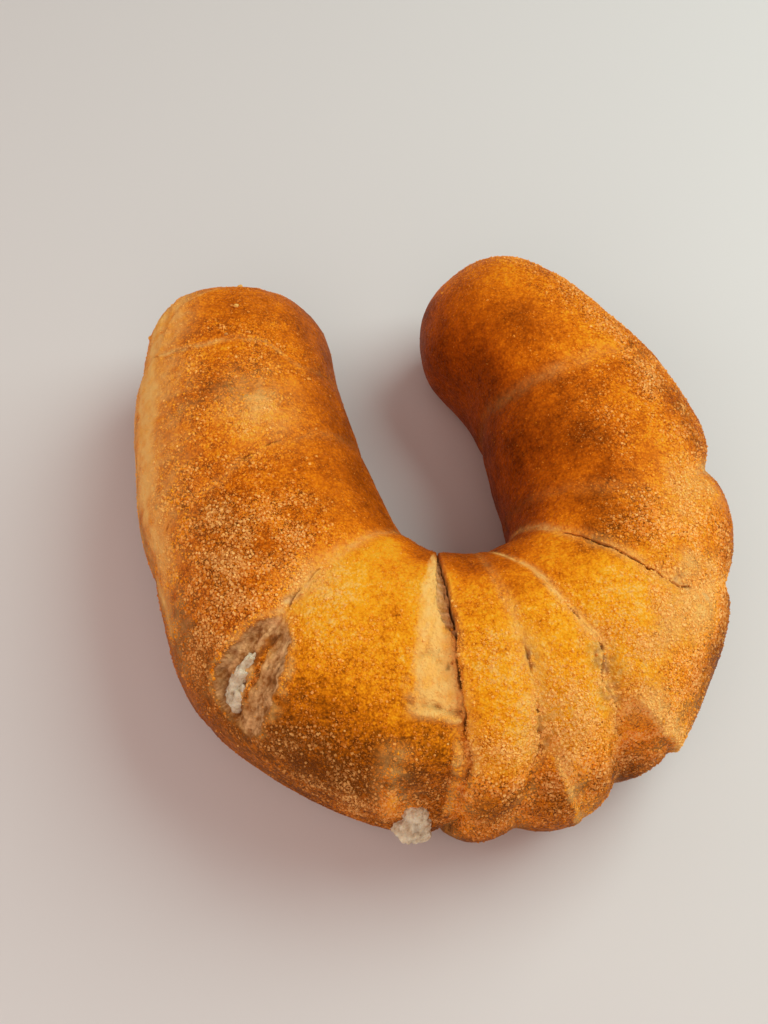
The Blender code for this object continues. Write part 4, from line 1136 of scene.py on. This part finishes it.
# Random turns as rotation matrices, from unit quaternions.
def randomTurns(count, rng):
    q = rng.normal(size=(count, 4))
    w, x, y, z = (q / np.linalg.norm(q, axis=1)[:, None]).T
    turns = [1 - 2 * (y * y + z * z), 2 * (x * y - z * w), 2 * (x * z + y * w),
             2 * (x * y + z * w), 1 - 2 * (x * x + z * z), 2 * (y * z - x * w),
             2 * (x * z - y * w), 2 * (y * z + x * w), 1 - 2 * (x * x + y * y)]
    return np.stack(turns, axis=-1).reshape(-1, 3, 3)


# Grains: the same small body, stretched, turned and sized at random, on places drawn on the skin.
def grainMesh(name, look, corners, faces):
    rng, count = np.random.default_rng(look["seed"]), look["count"]
    place, outward, brown, tone = skinPlaces(look, rng)
    size = rng.uniform(look["low"], look["high"], (count, 1)) * mm
    stretch = rng.uniform(0.65, 1.0, (count, 1, 3))
    grains = np.einsum("nij,nkj->nki", randomTurns(count, rng), corners * stretch) * size[:, None]
    grains += (place + outward * size * look["rise"])[:, None]
    index = faces[None] + (np.arange(count) * len(corners))[:, None, None]
    mesh = bpy.data.meshes.new(name)
    fillMesh(mesh, grains.reshape(-1, 3), index.ravel(), np.full(count * len(faces), faces.shape[1]))
    # A share of the light colour for each grain: their own whiteness, with a painted glint on the palest.
    paleness = look["paleness"] * rng.uniform(0, 1, count) ** 1.3 * 2 * np.clip(0.34 + 0.9 * tone, 0.3, 1)
    writeTone(mesh, "browning", np.repeat(brown, len(corners)))
    writeTone(mesh, "paleness", np.repeat(paleness, len(corners)))
    mesh.shade_flat()
    return mesh


# Sugar: syrup-coated crystals. Their colour is that of the crust below (the yellower ramp), painted
# in for the crust seen through the clear grains, made lighter by a share that varies from grain to
# grain: their own whiteness, with a painted glint on the palest.
def sugarMaterial():
    material, tree, shader, _ = newMaterial("sugarGrains", sugarLook["uniform"])
    share = mathNode(tree, "MULTIPLY", attributeNode(tree, "paleness"), 1, clamp=True)
    browning = mathNode(tree, "SUBTRACT", attributeNode(tree, "browning"), 0.15)
    # The crust's colour, painted in for the crust seen through the clear grains.
    crustColour = crustRamp(tree, browning, crust["yellowRamp"])
    tree.links.new(mixColour(tree, share, crustColour, sugarLook["light"]), shader.inputs["Base Color"])
    return material


sugarFinish = sugarMaterial()
grainBodies = ((boxCorners, boxFaces), (gemCorners, gemFaces), (chipCorners, chipFaces))
for (name, look), body in zip(sugar.items(), grainBodies):
    addPiece(name, grainMesh(name, look, *body), sugarFinish)
print("sugar strewn")

crumbs = {
    "single": (  # along, around, size in mm
        (0.0605, 92, 1.6), (0.0951, 89, 1), (0.0697, 45, 0.9), (0.0582, 24, 1.1), (0.0866, 87, 0.6),
        (0.022, 92, 1.3),
    ),
    "strewn": (  # along, around, spread in mm and degrees, count
        (0.453, 12, 4, 9, 26), (0.47, 88, 0.7, 22, 26), (0.474, 45, 1, 14, 16), (0.5165, 82, 0.8, 6, 6),
        (0.511, 48, 1.6, 12, 14), (0.556, 64, 1, 10, 12), (0.36, 44, 4, 16, 16), (0.626, 80, 1, 20, 10),
        (0.35, 86, 1.6, 6, 8),
    ),
    "low": 0.25, "high": 0.6, "rise": 0.15, "roughness": 0.30, "seed": 17,
}


# Crumbs: balls stretched at random, pushed in and out by noise, that sit on the skin.
def crumbMesh(rings=9, sides=12):
    rng = np.random.default_rng(crumbs["seed"])
    along, around, size = (list(column) for column in zip(*crumbs["single"]))
    for middle, angle, spread, spreadAngle, count in crumbs["strewn"]:
        along += list(middle + rng.normal(size=count) * spread * mm / rollLength)
        around += list(angle + rng.normal(size=count) * spreadAngle)
        size += list(rng.uniform(crumbs["low"], crumbs["high"], count))
    way, around = np.array(along) * rollLength, np.array(around, float) % 360
    size = np.array(size)[:, None, None] * mm
    relief, slide, _, _ = skin(way, around)
    place = rollPoints(way - slide, around, relief * mm)
    forward = rollPoints(way + mm, around, relief * mm) - place
    outward = np.cross(forward, rollPoints(way, around + 1, relief * mm) - place)
    outward /= np.linalg.norm(outward, axis=1)[:, None]
    ball, count = ballPoints(rings, sides), len(place)
    stretch = rng.uniform(0.55, 1.0, (count, 1, 3)) * size / 2
    balls = np.einsum("nij,nkj->nki", randomTurns(count, rng), ball * stretch)
    balls += (place + outward * size[:, 0] * crumbs["rise"])[:, None]
    centre = balls.mean(axis=1, keepdims=True)
    swell = spaceNoise(balls, 0.45 * mm, 141) + 0.6 * spaceNoise(balls, 0.2 * mm, 142)
    balls = centre + (balls - centre) * (1 + crumbs["roughness"] * swell)[..., None]
    corners, totals = tubeFaces(rings, sides)
    mesh = bpy.data.meshes.new("crumbs")
    index = corners[None] + (np.arange(count) * len(ball))[:, None]
    fillMesh(mesh, balls.reshape(-1, 3), index.ravel(), np.tile(totals, count))
    mesh.shade_smooth()
    for tone, amount in (("browning", 0.25), ("pale", 0.6)):
        writeTone(mesh, tone, np.repeat(np.clip(amount + rng.normal(size=count) * 0.2, 0, 1), len(ball)))
    return mesh


addPiece("crumbs", crumbMesh(), crustFinish)
print("crumbs laid")

floorLook = {
    "half": 1.5, "level": -0.0002,  # metres
    "uniform": {"Base Color": (0.71, 0.67, 0.68, 1), "Roughness": 0.5},
}
half, level = floorLook["half"], floorLook["level"]
floorMesh = bpy.data.meshes.new("floor")
floorCorners = [(x * half, y * half, level) for x, y in ((-1, -1), (1, -1), (1, 1), (-1, 1))]
floorMesh.from_pydata(floorCorners, [], [(0, 1, 2, 3)])
floorMesh.materials.append(newMaterial("paleFloor", floorLook["uniform"])[0])
addObject("floor", floorMesh)

light = {  # places and sizes in metres, powers in watts
    "key": {"place": (0.50, 0.20, 0.55), "size": 0.6, "power": 5.0, "colour": (0.79, 1.0, 0.93)},
    "fill": {"place": (-0.15, -0.45, 0.55), "size": 0.8, "power": 2.1, "colour": (1.0, 0.80, 0.70)},
    "low": {"place": (-0.50, 0.10, 0.20), "size": 0.3, "power": 0.42, "colour": (1.0, 0.95, 0.88)},
}
roomLight = {"colour": (1.0, 0.76, 0.67), "strength": 0.30}
aim = np.array([0.0, 0.0, 0.02])
for name, look in light.items():
    lamp = bpy.data.lights.new(name, "AREA")
    lamp.size = look["size"]
    lamp.energy = look["power"]
    lamp.color = look["colour"]
    x, y, z = np.array(look["place"]) - aim
    lampObject = addObject(name, lamp)
    lampObject.location = look["place"]
    lampObject.rotation_euler = (math.atan2(math.hypot(x, y), z), 0, math.atan2(x, -y))
world = bpy.data.worlds.new("room")
bpy.context.scene.world = world
world.use_nodes = True
background = world.node_tree.nodes["Background"]
background.inputs["Color"].default_value = (*roomLight["colour"], 1)
background.inputs["Strength"].default_value = roomLight["strength"]

view = {"target": (-0.0096, 0.0044, 0.0174), "distance": 0.261, "azimuth": -6, "elevation": 60, "lens": 42}
azimuth, elevation = math.radians(view["azimuth"]), math.radians(view["elevation"])
camera = addObject("camera", bpy.data.cameras.new("camera"))
camera.location = (
    view["target"][0] + view["distance"] * math.sin(azimuth) * math.cos(elevation),
    view["target"][1] - view["distance"] * math.cos(azimuth) * math.cos(elevation),
    view["target"][2] + view["distance"] * math.sin(elevation),
)
camera.rotation_euler = (math.pi / 2 - elevation, 0, azimuth)
camera.data.lens = view["lens"]
camera.data.sensor_width = 36
camera.data.clip_start = 0.01
bpy.context.scene.camera = camera
bpy.context.scene.view_settings.view_transform = "Standard"
print("floor, lights and camera made")
